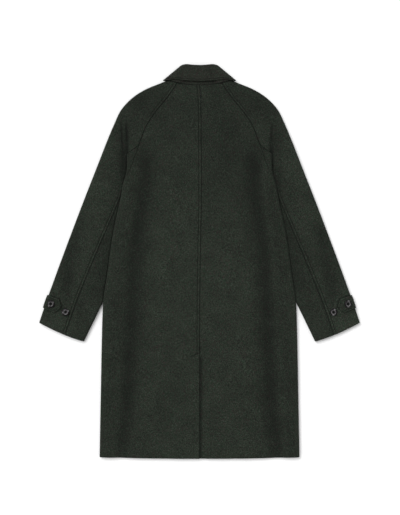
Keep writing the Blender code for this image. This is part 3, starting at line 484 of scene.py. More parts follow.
def smooth(share):
    """A soft step from 0 to 1."""
    share = np.clip(share, 0.0, 1.0)
    return share * share * (3 - 2 * share)


def blend(start, end, share):
    return start + (end - start) * share


def bell(distance, width):
    """1 at no distance, fading to 0 on both sides."""
    return np.exp(-(distance / width) ** 2)


def between_ends(share, fade):
    """1 along a line, fading out at both of its ends."""
    return smooth((share + fade / 2) / fade) * smooth((1 + fade / 2 - share) / fade)


def slope_at(edge, drop):
    """How far a line runs out for each metre down it."""
    return (edge(drop + SLOPE_STEP) - edge(drop - SLOPE_STEP)) / (2 * SLOPE_STEP)


def ring_turns(sides):
    """Angles of the points of a ring."""
    return [2 * math.pi * k / sides for k in range(sides)]


def curve(places, values):
    """A smooth line through the values at the places, with no overshoot between them."""
    places, values = np.array(places, float), np.array(values, float)
    steps = np.diff(values) / np.diff(places)
    before, after = steps[:-1], steps[1:]
    same_way = before * after > 0
    total = np.where(same_way, before + after, 1.0)
    inner_slopes = np.where(same_way, 2 * before * after / total, 0.0)
    slopes = np.concatenate([steps[:1], inner_slopes, steps[-1:]])

    def at(place):
        i = np.clip(np.searchsorted(places, place, side="right") - 1, 0, len(steps) - 1)
        width = places[i + 1] - places[i]
        t = np.clip((place - places[i]) / width, 0.0, 1.0)
        rise = values[i + 1] - values[i]
        bend_in = slopes[i] * width - rise
        bend_out = rise - slopes[i + 1] * width
        return values[i] + rise * t + t * (1 - t) * (bend_in * (1 - t) + bend_out * t)

    return at


def line(rows):
    """How far out a line lies at each drop."""
    return curve([row.drop for row in rows], [row.half for row in rows])


def length_along(rows):
    """Distance along the sleeve's outer edge at each section."""
    steps = [math.hypot(after.outer_half - row.outer_half, after.outer_drop - row.outer_drop)
             for row, after in zip(rows, rows[1:])]
    return np.concatenate([[0.0], np.cumsum(steps)])


body_edge = line(BODY_EDGE)
raglan = line(NECK_AND_RAGLAN)
centre_line = line(CENTRE_WANDER)
leaf_edge_drop = curve([row.half for row in LEAF_EDGE], [row.drop for row in LEAF_EDGE])
fold_lines = [line(fold.line) for fold in FOLDS]
SLEEVE_ALONG = length_along(SLEEVE)
SLEEVE_LENGTH = float(SLEEVE_ALONG[-1])
TAB_ALONG = SLEEVE_LENGTH - TAB_FROM_CUFF
outer_half = curve(SLEEVE_ALONG, [row.outer_half for row in SLEEVE])
outer_drop = curve(SLEEVE_ALONG, [row.outer_drop for row in SLEEVE])
inner_drop = curve(SLEEVE_ALONG, [row.inner_drop for row in SLEEVE])


def fold_heights(on, half, drop):
    """Rise of the broad folds, and how much painted shade they get."""
    height, dark = np.zeros_like(half), np.zeros_like(half)
    for fold, middle in zip(FOLDS, fold_lines):
        if fold.on != on:
            continue
        starts = smooth((drop - fold.line[0].drop) / fold.fade)
        ends = smooth((fold.line[-1].drop - drop) / fold.fade)
        across = half - middle(drop)
        width = np.where(across < 0, fold.inner, fold.outer)
        share = starts * ends * bell(across, width)
        height = height + fold.rise * share
        dark = np.maximum(dark, fold.dark * share)
    return height, dark


def line_distance(start, end, half, drop):
    """Distance from a straight line between two places, and the share of the way along it."""
    way = np.array([end.half - start.half, end.drop - start.drop])
    length = np.hypot(*way)
    along = ((half - start.half) * way[0] + (drop - start.drop) * way[1]) / length
    aside = ((half - start.half) * way[1] - (drop - start.drop) * way[0]) / length
    return aside, along / length


def crease_heights(on, side, half, drop):
    """Rise of the small creases, which fade out at both ends, and how much painted shade they get."""
    height, dark = np.zeros_like(half), np.zeros_like(half)
    for crease in CREASES:
        if crease.on != on or crease.side * side < 0:
            continue
        aside, share = line_distance(crease.start, crease.end, half, drop)
        near = between_ends(share, CREASE_FADE) * bell(aside, crease.width)
        height = height + crease.rise * near
        dark = np.maximum(dark, crease.dark * near)
    return height, dark


def wave_heights(side, half, drop):
    """Rise of the long uneven waves of lying cloth."""
    height = np.zeros_like(half)
    for wave in WAVES:
        turn = 2 * math.pi * (side * half / wave.across + drop / wave.down) + wave.shift
        height = height + wave.rise * np.sin(turn)
    return height


def crown(on, side, half, drop):
    """Height of the upper cloth above the floor, away from its rounded edges."""
    height = BODY_RISE + fold_heights(on, half, drop)[0]
    return height + crease_heights(on, side, half, drop)[0] + wave_heights(side, half, drop)


def painted_shade(on, side, half, drop):
    """Painted shade and light: 1, less with painted shade in folds and creases, and darker or lighter in
    the listed patches where the cloth lies away from the light or towards it.
    """
    shade = (1 - fold_heights(on, half, drop)[1]) * (1 - crease_heights(on, side, half, drop)[1])
    for patch in SHADES:
        if patch.on == on and patch.side * side >= 0:
            away = ((drop - patch.drop) / patch.high) ** 2 + ((half - patch.half) / patch.wide) ** 2
            shade = shade * (1 - patch.dark * np.exp(-away))
    return shade


def ditch(distance):
    """Drop of the cloth towards a seam."""
    return -DITCH_DEPTH * bell(distance, DITCH_WIDTH)


def stitched(distance):
    """Relief of a seam's turnings and the row of stitches that holds them, by distance from the seam."""
    ridge = RIDGE_RISE * bell(distance - STITCH_FROM_SEAM / 2, RIDGE_WIDTH)
    row = STITCH_DEPTH * bell(distance - STITCH_FROM_SEAM, STITCH_WIDTH)
    return ridge - row


def painted_ridge_highlight(distance, shown):
    """How much lighter the ridge of a seam's turnings is painted: a painted highlight where the raised
    ridge catches the light.
    """
    return 1 + RIDGE_HIGHLIGHT * shown * bell(distance - STITCH_FROM_SEAM / 2, RIDGE_WIDTH)


def lip(distance):
    """Rounding down of a turned edge."""
    return -EDGE_LIP * np.clip(1 - distance / EDGE_LIP_WIDTH, 0.0, 1.0) ** 2


def near_mark(distance, width=PRESS_WIDTH):
    """How strongly a line marks the colour, from 0 to 1: the nap flattened and painted shade beside a seam
    or a stitched row, painted shadow and painted highlight beside an edge.
    """
    return bell(distance, width)


def roundness(inset):
    """How far the cloth has opened out at a distance in from a folded edge: 0 at the edge, then 1."""
    share = np.clip(inset / EDGE_ROUND, 0.0, 1.0)
    return np.sqrt(np.maximum(0.0, 1 - (1 - share) ** 2))


def place(side, half, drop, height):
    half, drop, height = np.broadcast_arrays(half, drop, height)
    return np.stack([side * half, NAPE_Y - drop, height], axis=-1).astype(float)


def spaced(start, end, step, close_start=True, close_end=True):
    """Places from start to end about a step apart, closer at the ends that are asked for."""
    low = EDGE_ROWS if close_start else EDGE_ROWS[:1]
    high = EDGE_ROWS if close_end else EDGE_ROWS[:1]
    first, last = start + low[-1], end - high[-1]
    count = max(2, int(round((last - first) / step)) + 1)
    return np.concatenate([start + low[:-1], np.linspace(first, last, count), end - high[-2::-1]])


# Closed shells of cloth

def grid_faces(points):
    """Numbers of the points of a grid, the same for points that coincide, and its faces."""
    flat = points.reshape(-1, 3)
    valid = ~np.isnan(flat[:, 0])
    keys = np.round(flat[valid] * MERGE_SCALE).astype(np.int64)
    _, first, number = np.unique(keys, axis=0, return_index=True, return_inverse=True)
    numbers = np.full(len(flat), -1)
    numbers[valid] = number.reshape(-1)
    source = np.flatnonzero(valid)[first]
    numbers = numbers.reshape(points.shape[:2])
    corners = np.stack([numbers[:-1, :-1], numbers[:-1, 1:], numbers[1:, 1:], numbers[1:, :-1]], axis=-1)
    faces = []
    for cell in corners.reshape(-1, 4).tolist():
        cell = list(dict.fromkeys(cell))
        if -1 not in cell and len(cell) > 2:
            faces.append(cell)
    return source, faces


def point_normals(points, faces):
    """Outward direction of the sheet at each point, from the faces round it."""
    fours = np.array([face if len(face) == 4 else face + face[-1:] for face in faces])
    spread = np.cross(points[fours[:, 2]] - points[fours[:, 0]], points[fours[:, 3]] - points[fours[:, 1]])
    normals = np.zeros_like(points)
    for corner in range(4):
        np.add.at(normals, fours[:, corner], spread)
    return normals / np.maximum(np.linalg.norm(normals, axis=1, keepdims=True), 1e-12)


def inward_ways(normals, upright):
    """The way from each outer point to the inner face: straight down or level where it nearly is."""
    level = normals * [1.0, 1.0, 0.0]
    level /= np.maximum(np.linalg.norm(level, axis=1, keepdims=True), 1e-9)
    down = np.sign(normals[:, 2:]) * [0.0, 0.0, 1.0]
    share = smooth((np.abs(normals[:, 2:]) - upright) / UPRIGHT_FADE)
    ways = blend(normals, down, share)
    return -np.where(np.abs(normals[:, 2:]) < STEEP, level, ways)


def shell(name, points, thickness, flip, masks, upright=UPRIGHT):
    """A closed wall of cloth whose outer face runs through a grid of points; gaps in the grid are nan."""
    source, faces = grid_faces(points)
    if flip:
        faces = [face[::-1] for face in faces]
    outer = points.reshape(-1, 3)[source]
    inner = outer + inward_ways(point_normals(outer, faces), upright) * thickness
    under = len(outer)
    edges = {(a, b) for face in faces for a, b in zip(face, face[1:] + face[:1])}
    rims = [[b, a, a + under, b + under] for a, b in sorted(edges) if (b, a) not in edges]
    walls = [[number + under for number in reversed(face)] for face in faces]
    data = bpy.data.meshes.new(name)
    data.from_pydata(np.concatenate([outer, inner]).tolist(), [], faces + walls + rims)
    for word, values in masks.items():
        layer = data.attributes.new(word, "FLOAT", "POINT")
        shown = np.broadcast_to(values, points.shape[:2]).reshape(-1)[source]
        layer.data.foreach_set("value", np.nan_to_num(np.tile(shown, 2)).astype(np.float32))
    used = bmesh.new()
    used.from_mesh(data)
    loose = [vertex for vertex in used.verts if not vertex.link_faces]
    bmesh.ops.delete(used, geom=loose, context="VERTS")
    used.to_mesh(data)
    used.free()
    data.shade_smooth()
    return add_piece(name, data)


def add_piece(name, data):
    piece = bpy.data.objects.new(name, data)
    bpy.context.scene.collection.objects.link(piece)
    return piece


def close_strips(rows, strips):
    """Bring a strip of points to one point on the folded edge in the row where the strip begins or ends."""
    bare = np.isnan(rows[:, -1, 0])
    for i in np.flatnonzero(bare):
        beside = [bare[k] for k in (i - 1, i + 1) if 0 <= k < len(rows)]
        if not np.isnan(rows[i, -strips - 1, 0]) and not all(beside):
            rows[i, -strips:] = rows[i, -strips - 1]
    return rows


# Body

def side_seam(row_drop):
    """Where the side seam lies for the front's row that meets the body edge at this drop."""
    left = np.clip((SEAM_AT_EDGE_DROP - row_drop) / (SEAM_AT_EDGE_DROP - UNDERARM_END_DROP), 0.0, 1.0)
    inset = left * (body_edge(UNDERARM_END_DROP) - ARMPIT_HALF)
    return body_edge(row_drop) - inset, row_drop - left * (UNDERARM_END_DROP - ARMPIT_DROP)


def seam_row(drop):
    """Drop at the body edge of the front's row that meets the side seam at this drop."""
    slope = (SEAM_AT_EDGE_DROP - ARMPIT_DROP) / (SEAM_AT_EDGE_DROP - UNDERARM_END_DROP)
    return np.maximum(drop, SEAM_AT_EDGE_DROP - (SEAM_AT_EDGE_DROP - drop) / slope)


def back_edge(drop):
    """How far out the back panel reaches: to the raglan seam, the side seam and then the body edge."""
    on_top = smooth((SEAM_AT_EDGE_DROP - drop) / SEAM_TURN)
    below = side_seam(seam_row(drop))[0] - SEAM_GAP * on_top
    return np.where(drop <= ARMPIT_DROP, raglan(drop) - SEAM_GAP, below)


def edge_gap(drop):
    """Half the gap of the side seam along the folded edge, wider where it turns on to the back."""
    return SEAM_GAP / 2 + SEAM_TURN_GAP * (1 - smooth((drop - SEAM_AT_EDGE_DROP) / SEAM_TURN_LENGTH))


def vent_step(side, half, drop):
    """How far the right back lies below the left one beside the vent."""
    if side < 0:
        return np.zeros_like(half)
    begins = smooth((drop - VENT_TOP + VENT_STEP_LEAD) / VENT_STEP_LEAD)
    return VENT_STEP * begins * (1 - smooth((half - VENT_STEP_FLAT) / VENT_STEP_FADE))


def hem_bend(drop):
    """How far the hem sags at the centre back and centre front."""
    return HEM_SAG * smooth((drop - HEM_BEND_TOP) / HEM_BEND_LENGTH)


def back_bend(half, drop):
    """How far the back's rows sag towards the centre back, at the neck and at the hem."""
    bend = NECK_LIFT * (1 - smooth(drop / NECK_BEND_LENGTH)) + hem_bend(drop)
    return bend * (1 - np.maximum(half / back_edge(drop), 0.0) ** 2)


def place_back(side, half, drop, height):
    """A place on the back, whose centre seam wanders a little to one side as the coat lies."""
    spot = place(side, half, drop + back_bend(half, drop), height)
    spot[..., 0] += centre_line(drop) * (1 - np.maximum(half / back_edge(drop), 0.0))
    return spot


def seam_distance(half, drop):
    """Distance of a point on the back from the raglan seam or, below the armpit, the side seam."""
    return np.abs(back_edge(drop) - half) / np.sqrt(1 + slope_at(back_edge, drop) ** 2)


def raglan_part(drop):
    """1 beside the raglan seam, less beside the side seam, which lies almost unpressed."""
    return blend(1.0, SIDE_SEAM_PRESS, smooth((drop - ARMPIT_DROP) / SEAM_TURN))


def back_height(side, half, drop):
    """Height of the back's outer face, rounded down at its folded side edge."""
    fold = np.where(drop > ARMPIT_DROP, body_edge(seam_row(drop)), half + EDGE_ROUND)
    top = crown("body", side, half, drop)
    height = top / 2 + top / 2 * roundness(fold - half)
    seam = seam_distance(half, drop)
    on_top = smooth((fold - half) / SEAM_RELIEF_FADE) * raglan_part(drop)
    height = height + ditch(seam) * on_top + lip(HEM_DROP - drop) + ditch(drop + NECK_LIFT)
    above_vent = 1 - smooth((drop - VENT_TOP + VENT_ROW_LEAD) / VENT_ROW_FADE)
    height = height + ditch(half) * above_vent
    if side < 0:
        height = height + stitched(half) * above_vent + lip(half) * (1 - above_vent) + vent_tack(half, drop)
    return height - vent_step(side, half, drop)


def vent_tack(half, drop):
    """The slanted row of stitches that holds the vent's top."""
    aside, share = line_distance(*VENT_TACK, half, drop)
    within = between_ends(share, VENT_TACK_FADE) * blend(1.0, VENT_TACK_LAST, smooth(share))
    return -VENT_TACK_DEPTH * within * bell(aside, VENT_TACK_WIDTH)


def back_masks(side, half, drop):
    """Where the back's nap is flattened at seams and rows, with painted shade in their ditches and painted
    shadow beside the vent, and how light it shows with painted shade and painted highlight.
    """
    pressed_and_shadow = np.maximum(near_mark(seam_distance(half, drop)) * raglan_part(drop), near_mark(half))
    pressed_and_shadow = np.maximum(pressed_and_shadow, near_mark(drop + NECK_LIFT))
    shade = painted_shade("body", side, half, drop)
    if side < 0:
        row = ROW_PRESS * near_mark(half - STITCH_FROM_SEAM, ROW_PRESS_WIDTH) * (drop < VENT_TOP)
        pressed_and_shadow = np.maximum(np.maximum(pressed_and_shadow, row), vent_tack(half, drop) / -VENT_TACK_DEPTH)
        # painted highlight on the ridge beside the centre back seam
        shade = shade * painted_ridge_highlight(half, drop < VENT_TOP)
    else:
        # painted shadow on the right back beside the vent's edge, where the left back lies over it
        below_top = smooth((drop - VENT_TOP) / VENT_SHADOW_FADE)
        vent_shadow = 1 - smooth((half - VENT_SHADOW_HALF) / VENT_SHADOW_WIDTH)
        pressed_and_shadow = np.maximum(pressed_and_shadow, below_top * vent_shadow)
    return {"pressed_and_shadow": pressed_and_shadow, "shade": shade}


def back_drops():
    """Places of the back's rows, closer where small creases cross it."""
    stops = [-NECK_LIFT, *FINE_TACK, *FINE_CREASE, HEM_DROP]
    steps = [BACK_STEP, FINE_STEP, BACK_STEP, FINE_STEP, BACK_STEP]
    parts = [spaced(start, end, step, start == stops[0], end == stops[-1])
             for start, end, step in zip(stops, stops[1:], steps)]
    return np.concatenate([parts[0]] + [part[1:] for part in parts[1:]])


def make_back(side, name):
    drops = back_drops()[:, None]
    edge = back_edge(drops)
    inner = np.broadcast_to(SEAM_GAP / 2 + SEAM_COLUMNS, (len(drops), len(SEAM_COLUMNS)))
    outer = edge - SEAM_COLUMNS[::-1]
    between = blend(inner[:, -1:], outer[:, :1], np.linspace(0, 1, BACK_COLUMNS + 2)[1:-1])
    half = np.concatenate([inner, between, outer], axis=1)
    height = back_height(side, half, np.broadcast_to(drops, half.shape))
    height[:, -1:] += np.where(drops >= SEAM_AT_EDGE_DROP, edge_gap(drops), 0.0)
    points = place_back(side, half, drops, height)
    masks = back_masks(side, half, np.broadcast_to(drops, half.shape))
    if side > 0:
        points, masks = add_vent_underlay(points, masks, drops)
    return shell(name, points, CLOTH, side > 0, masks)


def add_vent_underlay(points, masks, drops):
    """Carry the right back on under the left one below the vent's top."""
    half = np.linspace(-VENT_UNDERLAY, 0, UNDERLAY_COLUMNS)[:-1]
    height = np.broadcast_to(points[:, :1, 2], (len(drops), len(half))).copy()
    strip = place_back(1, np.broadcast_to(half, height.shape), drops, height)
    strip[drops[:, 0] < VENT_TOP] = np.nan
    points = np.concatenate([strip, points], axis=1)
    masks = {word: np.pad(values, ((0, 0), (len(half), 0)), mode="edge") for word, values in masks.items()}
    return points, masks


def front_edge(drop):
    """How far out the front lies flat: to the raglan seam, the underarm seam and the body edge."""
    share = (drop - ARMPIT_DROP) / (UNDERARM_END_DROP - ARMPIT_DROP)
    underarm = blend(ARMPIT_HALF, body_edge(UNDERARM_END_DROP), share) - 2 * SEAM_GAP
    lower = np.where(drop < UNDERARM_END_DROP, underarm, body_edge(drop))
    return np.where(drop <= ARMPIT_DROP, raglan(drop) - SEAM_GAP, lower)


def tab_frame():
    """Where the tab crosses the sleeve's outer edge, the ways square in from it and along it, and how far
    the sleeve's sections slant along it."""
    edge, inside, width = sleeve_section(np.array(TAB_ALONG))
    along = sleeve_section(np.array(TAB_ALONG + TAB_WIDTH / 2))[0] - edge
    along = along / np.linalg.norm(along)
    slant = (inside - edge) @ along / width
    return edge, np.array([-along[1], along[0]]), along, float(slant)


def tab_ways(half, drop):
    """How far a place lies in from the sleeve's outer edge and along it from the tab's middle."""
    edge, inward, along, _ = TAB_FRAME
    into = (half - edge[0]) * inward[0] + (drop - edge[1]) * inward[1]
    return into, (half - edge[0]) * along[0] + (drop - edge[1]) * along[1]


def tab_inset(into, beside):
    """Distance of a place inside the tab's outline, below 0 outside it."""
    rise, run = TAB_REACH - TAB_STRAIGHT, (1 - TAB_POINT) * TAB_WIDTH / 2
    blunt = TAB_POINT * TAB_WIDTH / 2
    to_point = ((TAB_REACH - into) * run - (np.abs(beside) - blunt) * rise) / math.hypot(rise, run)
    return np.minimum(TAB_WIDTH / 2 - np.abs(beside), to_point)


def lift(half, drop):
    """Height of the lower cloth above the floor, where it lies over the collar wings and the tab."""
    over_wing = smooth((WING_CLEAR_HALF - np.abs(half)) / WING_CLEAR_HALF_FADE)
    over_wing = over_wing * smooth((WING_CLEAR_DROP - drop) / WING_CLEAR_DROP_FADE)
    into, beside = tab_ways(half, drop)
    over_tab = smooth((TAB_UNDER + TAB_CLEAR_IN - into) / TAB_CLEAR_IN_FADE)
    inside = TAB_WIDTH / 2 + TAB_CLEAR_BESIDE - np.abs(beside)
    over_tab = over_tab * smooth(inside / TAB_CLEAR_BESIDE_FADE)
    return WING_LIFT * over_wing + TAB_LIFT * over_tab


def front_bottom(side, half, drop):
    """Height of the front's outer face, which rests on the floor; the right front laps over the left."""
    height = lift(half, drop) + crease_heights("front", side, half, drop)[0]
    if side > 0:
        height = height + LAP_LIFT * smooth((LAP_LEVEL_HALF - half) / LAP_FADE)
    return height


def front_row(side, drop):
    """One row of a front: across the floor, round the body edge and on to the side seam."""
    edge = front_edge(drop)
    wraps = drop >= UNDERARM_END_DROP - SAME_PLACE
    flat_end = edge - EDGE_ROUND if wraps else edge
    lap = np.linspace(-FRONT_LAP, 0, LAP_COLUMNS)[:-1]
    half = np.concatenate([lap, np.linspace(0, flat_end, FRONT_COLUMNS)])
    neck_bend = (FRONT_NECK_DROP + NECK_LIFT) * (1 - smooth((drop + NECK_LIFT) / FRONT_NECK_LENGTH))
    bow = 1 - (np.maximum(half, 0.0) / edge) ** FRONT_NECK_POWER
    here = drop + neck_bend * bow + hem_bend(drop) * (1 - (half / edge) ** 2)
    flat = place(side, half, here, front_bottom(side, half, here))
    turn = TURN_STEPS[-2::-1]
    if not wraps:
        return np.concatenate([flat, np.full((len(turn) + FRONT_STRIPS, 3), np.nan)])
    middle = crown("body", side, edge, drop) / 2
    half = edge - EDGE_ROUND * (1 - np.cos(turn))
    gap = np.where((turn == 0) & (drop > SEAM_AT_EDGE_DROP - SAME_PLACE), edge_gap(drop), 0.0)
    base = front_bottom(side, half, drop)
    rounded = place(side, half, drop, middle - (middle - base) * np.sin(turn) - gap)
    return np.concatenate([flat, rounded, front_strip(side, drop)])


def front_strip(side, drop):
    """The corner of the front that folds over the body edge on to the back, below the armpit."""
    if drop > SEAM_AT_EDGE_DROP - SAME_PLACE:
        return np.full((FRONT_STRIPS, 3), np.nan)
    edge = body_edge(drop)
    seam_half, seam_drop = side_seam(drop)
    near_end = (drop - UNDERARM_END_DROP) / (SEAM_AT_EDGE_DROP - UNDERARM_END_DROP)
    reach = edge - seam_half - 2 * SEAM_GAP - CORNER_CLEAR * near_end
    inset = reach * (np.arange(1, FRONT_STRIPS + 1) / FRONT_STRIPS) ** FRONT_CROWDING
    here = blend(drop, seam_drop, inset / (edge - seam_half)) + 2 * SEAM_GAP
    top = crown("body", side, edge - inset, here)
    height = top / 2 + top / 2 * roundness(inset)
    height = height + ditch(reach - inset) * smooth(reach / CORNER_SEAM_FADE) * SIDE_SEAM_PRESS
    return place(side, edge - inset, here, height)


def make_front(side, name):
    above = spaced(-NECK_LIFT, UNDERARM_END_DROP, FRONT_STEP, True, False)
    corner = spaced(UNDERARM_END_DROP, SEAM_AT_EDGE_DROP, BACK_STEP, False, False)
    below = spaced(SEAM_AT_EDGE_DROP, HEM_DROP, FRONT_STEP, False, True)
    drops = np.concatenate([above, corner[1:], below[1:]])
    points = close_strips(np.stack([front_row(side, drop) for drop in drops]), FRONT_STRIPS)
    half, drop = np.abs(points[..., 0]), NAPE_Y - points[..., 1]
    pressed_and_shadow = np.zeros_like(half)
    shade = painted_shade("front", side, half, drop)
    # painted shade on the corner of the front folded over under the arm
    shade[:, -FRONT_STRIPS:] *= painted_shade("body", side, half, drop)[:, -FRONT_STRIPS:] * CORNER_SHADE
    return shell(name, points, CLOTH, side < 0, {"pressed_and_shadow": pressed_and_shadow, "shade": shade})


# Sleeves

def inner_half(drop):
    """The sleeve's inner edge: along the underarm seam, beside the body and then free to the cuff."""
    share = (drop - ARMPIT_DROP) / (UNDERARM_END_DROP - ARMPIT_DROP)
    underarm = blend(ARMPIT_HALF, body_edge(UNDERARM_END_DROP) + SIDE_TOUCH, share)
    free = CUFF_INNER_HALF - (SLEEVE[-1].inner_drop - drop) * INNER_EDGE_SLOPE
    return np.where(drop < UNDERARM_END_DROP, underarm, np.maximum(body_edge(drop) + SIDE_TOUCH, free))


def sleeve_section(along):
    """Outer end, inner end and width of the sleeve's section at a distance along its outer edge."""
    outer = np.stack([outer_half(along), outer_drop(along)], axis=-1)
    deep = inner_drop(along)
    inner = np.stack([inner_half(deep), deep], axis=-1)
    return outer, inner, np.linalg.norm(inner - outer, axis=-1)


def sleeve_place(along, across):
    """Half and drop of a point across the sleeve; the first section follows the raglan seam."""
    outer, inner, width = sleeve_section(along)
    share = across / width
    spot = blend(outer, inner, share[..., None])
    left = np.maximum(0.0, 1 - along / RAGLAN_BLEND) ** 2
    first_outer, first_inner, _ = sleeve_section(np.zeros(1))
    first = blend(first_outer[0], first_inner[0], share[..., None])
    seam = np.stack([raglan(first[..., 1]) + SEAM_GAP, first[..., 1]], axis=-1)
    spot = spot + (seam - first) * left[..., None]
    bow = CUFF_BOW * smooth((along - SLEEVE_LENGTH + CUFF_BOW_LENGTH) / CUFF_BOW_LENGTH)
    bow = bow * 4 * share * (1 - share)
    return spot[..., 0], spot[..., 1] + bow


def beside_body(along):
    """How far the sleeve has become a folded tube of its own beside the body: 0 at the underarm, then 1."""
    return smooth((inner_drop(along) - UNDERARM_END_DROP) / TUBE_START_LENGTH)


def raglan_distance(half, drop):
    """Distance of a point on the sleeve from the raglan seam."""
    distance = np.abs(half - raglan(drop)) / np.sqrt(1 + slope_at(raglan, drop) ** 2)
    return np.where(drop > ARMPIT_DROP, np.hypot(half - ARMPIT_HALF, drop - ARMPIT_DROP), distance)


def arm_seam(along):
    """How far in from the outer edge the seam on the back of the arm lies."""
    width = sleeve_section(along)[2]
    share = smooth((along - ARM_SEAM_BEND_ALONG) / (SLEEVE_LENGTH - ARM_SEAM_BEND_ALONG))
    seam = np.minimum(width, blend(ARM_SEAM_TOP, ARM_SEAM_CUFF, share))
    return np.where(inner_drop(along) < ARM_SEAM_START_DROP, width, seam)


def arm_seam_distance(along, across):
    """Signed distance towards the outer edge from the seam on the back of the arm, far off above it."""
    seam = arm_seam(along)
    return np.where(inner_drop(along) < ARM_SEAM_START_DROP, 1.0, seam - across)


def sleeve_relief(along, across, half, drop):
    """Relief of the sewn lines on the upper side of the sleeve."""
    from_raglan = raglan_distance(half, drop)
    under = underarm_distance(half, drop)
    from_arm_seam = arm_seam_distance(along, across)
    height = ditch(from_raglan) + stitched(from_raglan) * raglan_row(drop) + ditch(under)
    return height + ditch(from_arm_seam) + stitched(from_arm_seam) + lip(SLEEVE_LENGTH - along)


def raglan_row(drop):
    """How plainly the row of stitches beside the raglan seam shows: most at the neck, fading downwards."""
    below_collar = smooth((drop + NECK_LIFT) / NECK_LIFT)
    return below_collar * (1 - smooth((drop - RAGLAN_ROW_END) / RAGLAN_ROW_FADE))


def underarm_distance(half, drop):
    """Distance from the short seam under the arm."""
    start = LineRow(ARMPIT_DROP, ARMPIT_HALF)
    end = LineRow(UNDERARM_END_DROP, float(body_edge(UNDERARM_END_DROP)))
    aside, share = line_distance(start, end, half, drop)
    past = np.maximum(np.maximum(-share, share - 1), 0.0)
    return np.abs(aside) + UNDERARM_PAST * past


def sleeve_point(side, along, layer, across):
    """A point of the sleeve's outer face; layer is 1 for the upper cloth and -1 for the lower."""
    along, across = np.broadcast_arrays(along, across)
    width = sleeve_section(along)[2]
    half, drop = sleeve_place(along, across)
    top = crown("sleeve", side, half, drop)
    bottom = lift(half, drop) + crease_heights("under sleeve", side, half, drop)[0]
    middle = (top + bottom) / 2
    open_out = roundness(across) * blend(1.0, roundness(width - across), beside_body(along))
    edge = top if layer > 0 else bottom
    height = middle + (edge - middle) * open_out
    if layer > 0:
        height = height + sleeve_relief(along, across, half, drop) * open_out
    return place(side, half, drop, height)


def sleeve_masks(side, along, across):
    """Where the upper side's nap is flattened at seams and rows, with painted shade in their ditches and
    painted shadow round the tab and under the stand, and how light it shows with painted shade and painted
    highlight.
    """
    along, across = np.broadcast_arrays(along, across)
    half, drop = sleeve_place(along, across)
    from_raglan, from_arm_seam = raglan_distance(half, drop), arm_seam_distance(along, across)
    below_collar = smooth((drop + NECK_LIFT) / NECK_LIFT)
    seams = np.maximum(near_mark(from_raglan) * below_collar, near_mark(from_arm_seam))
    seams = np.maximum(seams, near_mark(underarm_distance(half, drop)))
    # painted shadow along the collar stand's lower edge, where it lies over the sleeve top
    seams = np.maximum(seams, near_mark(drop + NECK_LIFT * (half / NECK_HALF) ** 2))
    rows = near_mark(from_raglan - STITCH_FROM_SEAM, ROW_PRESS_WIDTH) * raglan_row(drop)
    rows = np.maximum(rows, near_mark(from_arm_seam - STITCH_FROM_SEAM, ROW_PRESS_WIDTH))
    # painted shadow on the sleeve round the tab's edge
    beside_tab = np.maximum(-tab_inset(*tab_ways(half, drop)), 0.0)
    tab_shadow = TAB_SHADOW * near_mark(beside_tab, TAB_SHADOW_WIDTH)
    pressed_and_shadow = np.maximum(np.maximum(seams, ROW_PRESS * rows), tab_shadow)
    # painted shade on the strip beyond the seam on the back of the arm
    beyond_seam = smooth(-from_arm_seam / STRIP_FADE)
    shade = painted_shade("sleeve", side, half, drop) * blend(1.0, STRIP_SHADE, beyond_seam)
    # painted highlight on the ridges beside the raglan seam and the seam on the arm
    shade = shade * painted_ridge_highlight(from_raglan, raglan_row(drop)) * painted_ridge_highlight(from_arm_seam, 1.0)
    return {"pressed_and_shadow": pressed_and_shadow, "shade": shade}


def sleeve_alongs():
    """Places of the sleeve's sections, with one exactly at the underarm corner."""
    underarm = SLEEVE_ALONG[[row.inner_drop for row in SLEEVE].index(UNDERARM_END_DROP)]
    upper = spaced(SEAM_COLUMNS[-1], underarm, SLEEVE_STEP, False, False)
    lower = spaced(underarm, SLEEVE_LENGTH, SLEEVE_STEP, False, True)
    return np.concatenate([SEAM_COLUMNS[:-1], upper, lower[1:]])[:, None]


def across_sleeve(along, end):
    """Distances across the sleeve from its outer edge to an end, close at both."""
    first = EDGE_ROUND * (1 - np.cos(TURN_STEPS))
    near = np.broadcast_to(first, (len(along), len(first)))
    far = end - SEAM_COLUMNS[::-1]
    between = blend(near[:, -1:], far[:, :1], np.linspace(0, 1, SLEEVE_COLUMNS + 2)[1:-1])
    return np.concatenate([near, between, far], axis=1)


def make_sleeve_back(side, name):
    along = sleeve_alongs()
    width = sleeve_section(along)[2]
    whole = arm_seam(along) >= width
    across = across_sleeve(along, np.where(whole, width, arm_seam(along) - SEAM_GAP))
    points = sleeve_point(side, along, 1, across)
    points[:, 0, 2] += SEAM_GAP / 2
    points[:, -1:, 2] += np.where(whole, SEAM_GAP / 2 * beside_body(along), 0.0)
    return shell(name, points, CLOTH, side < 0, sleeve_masks(side, along, across))


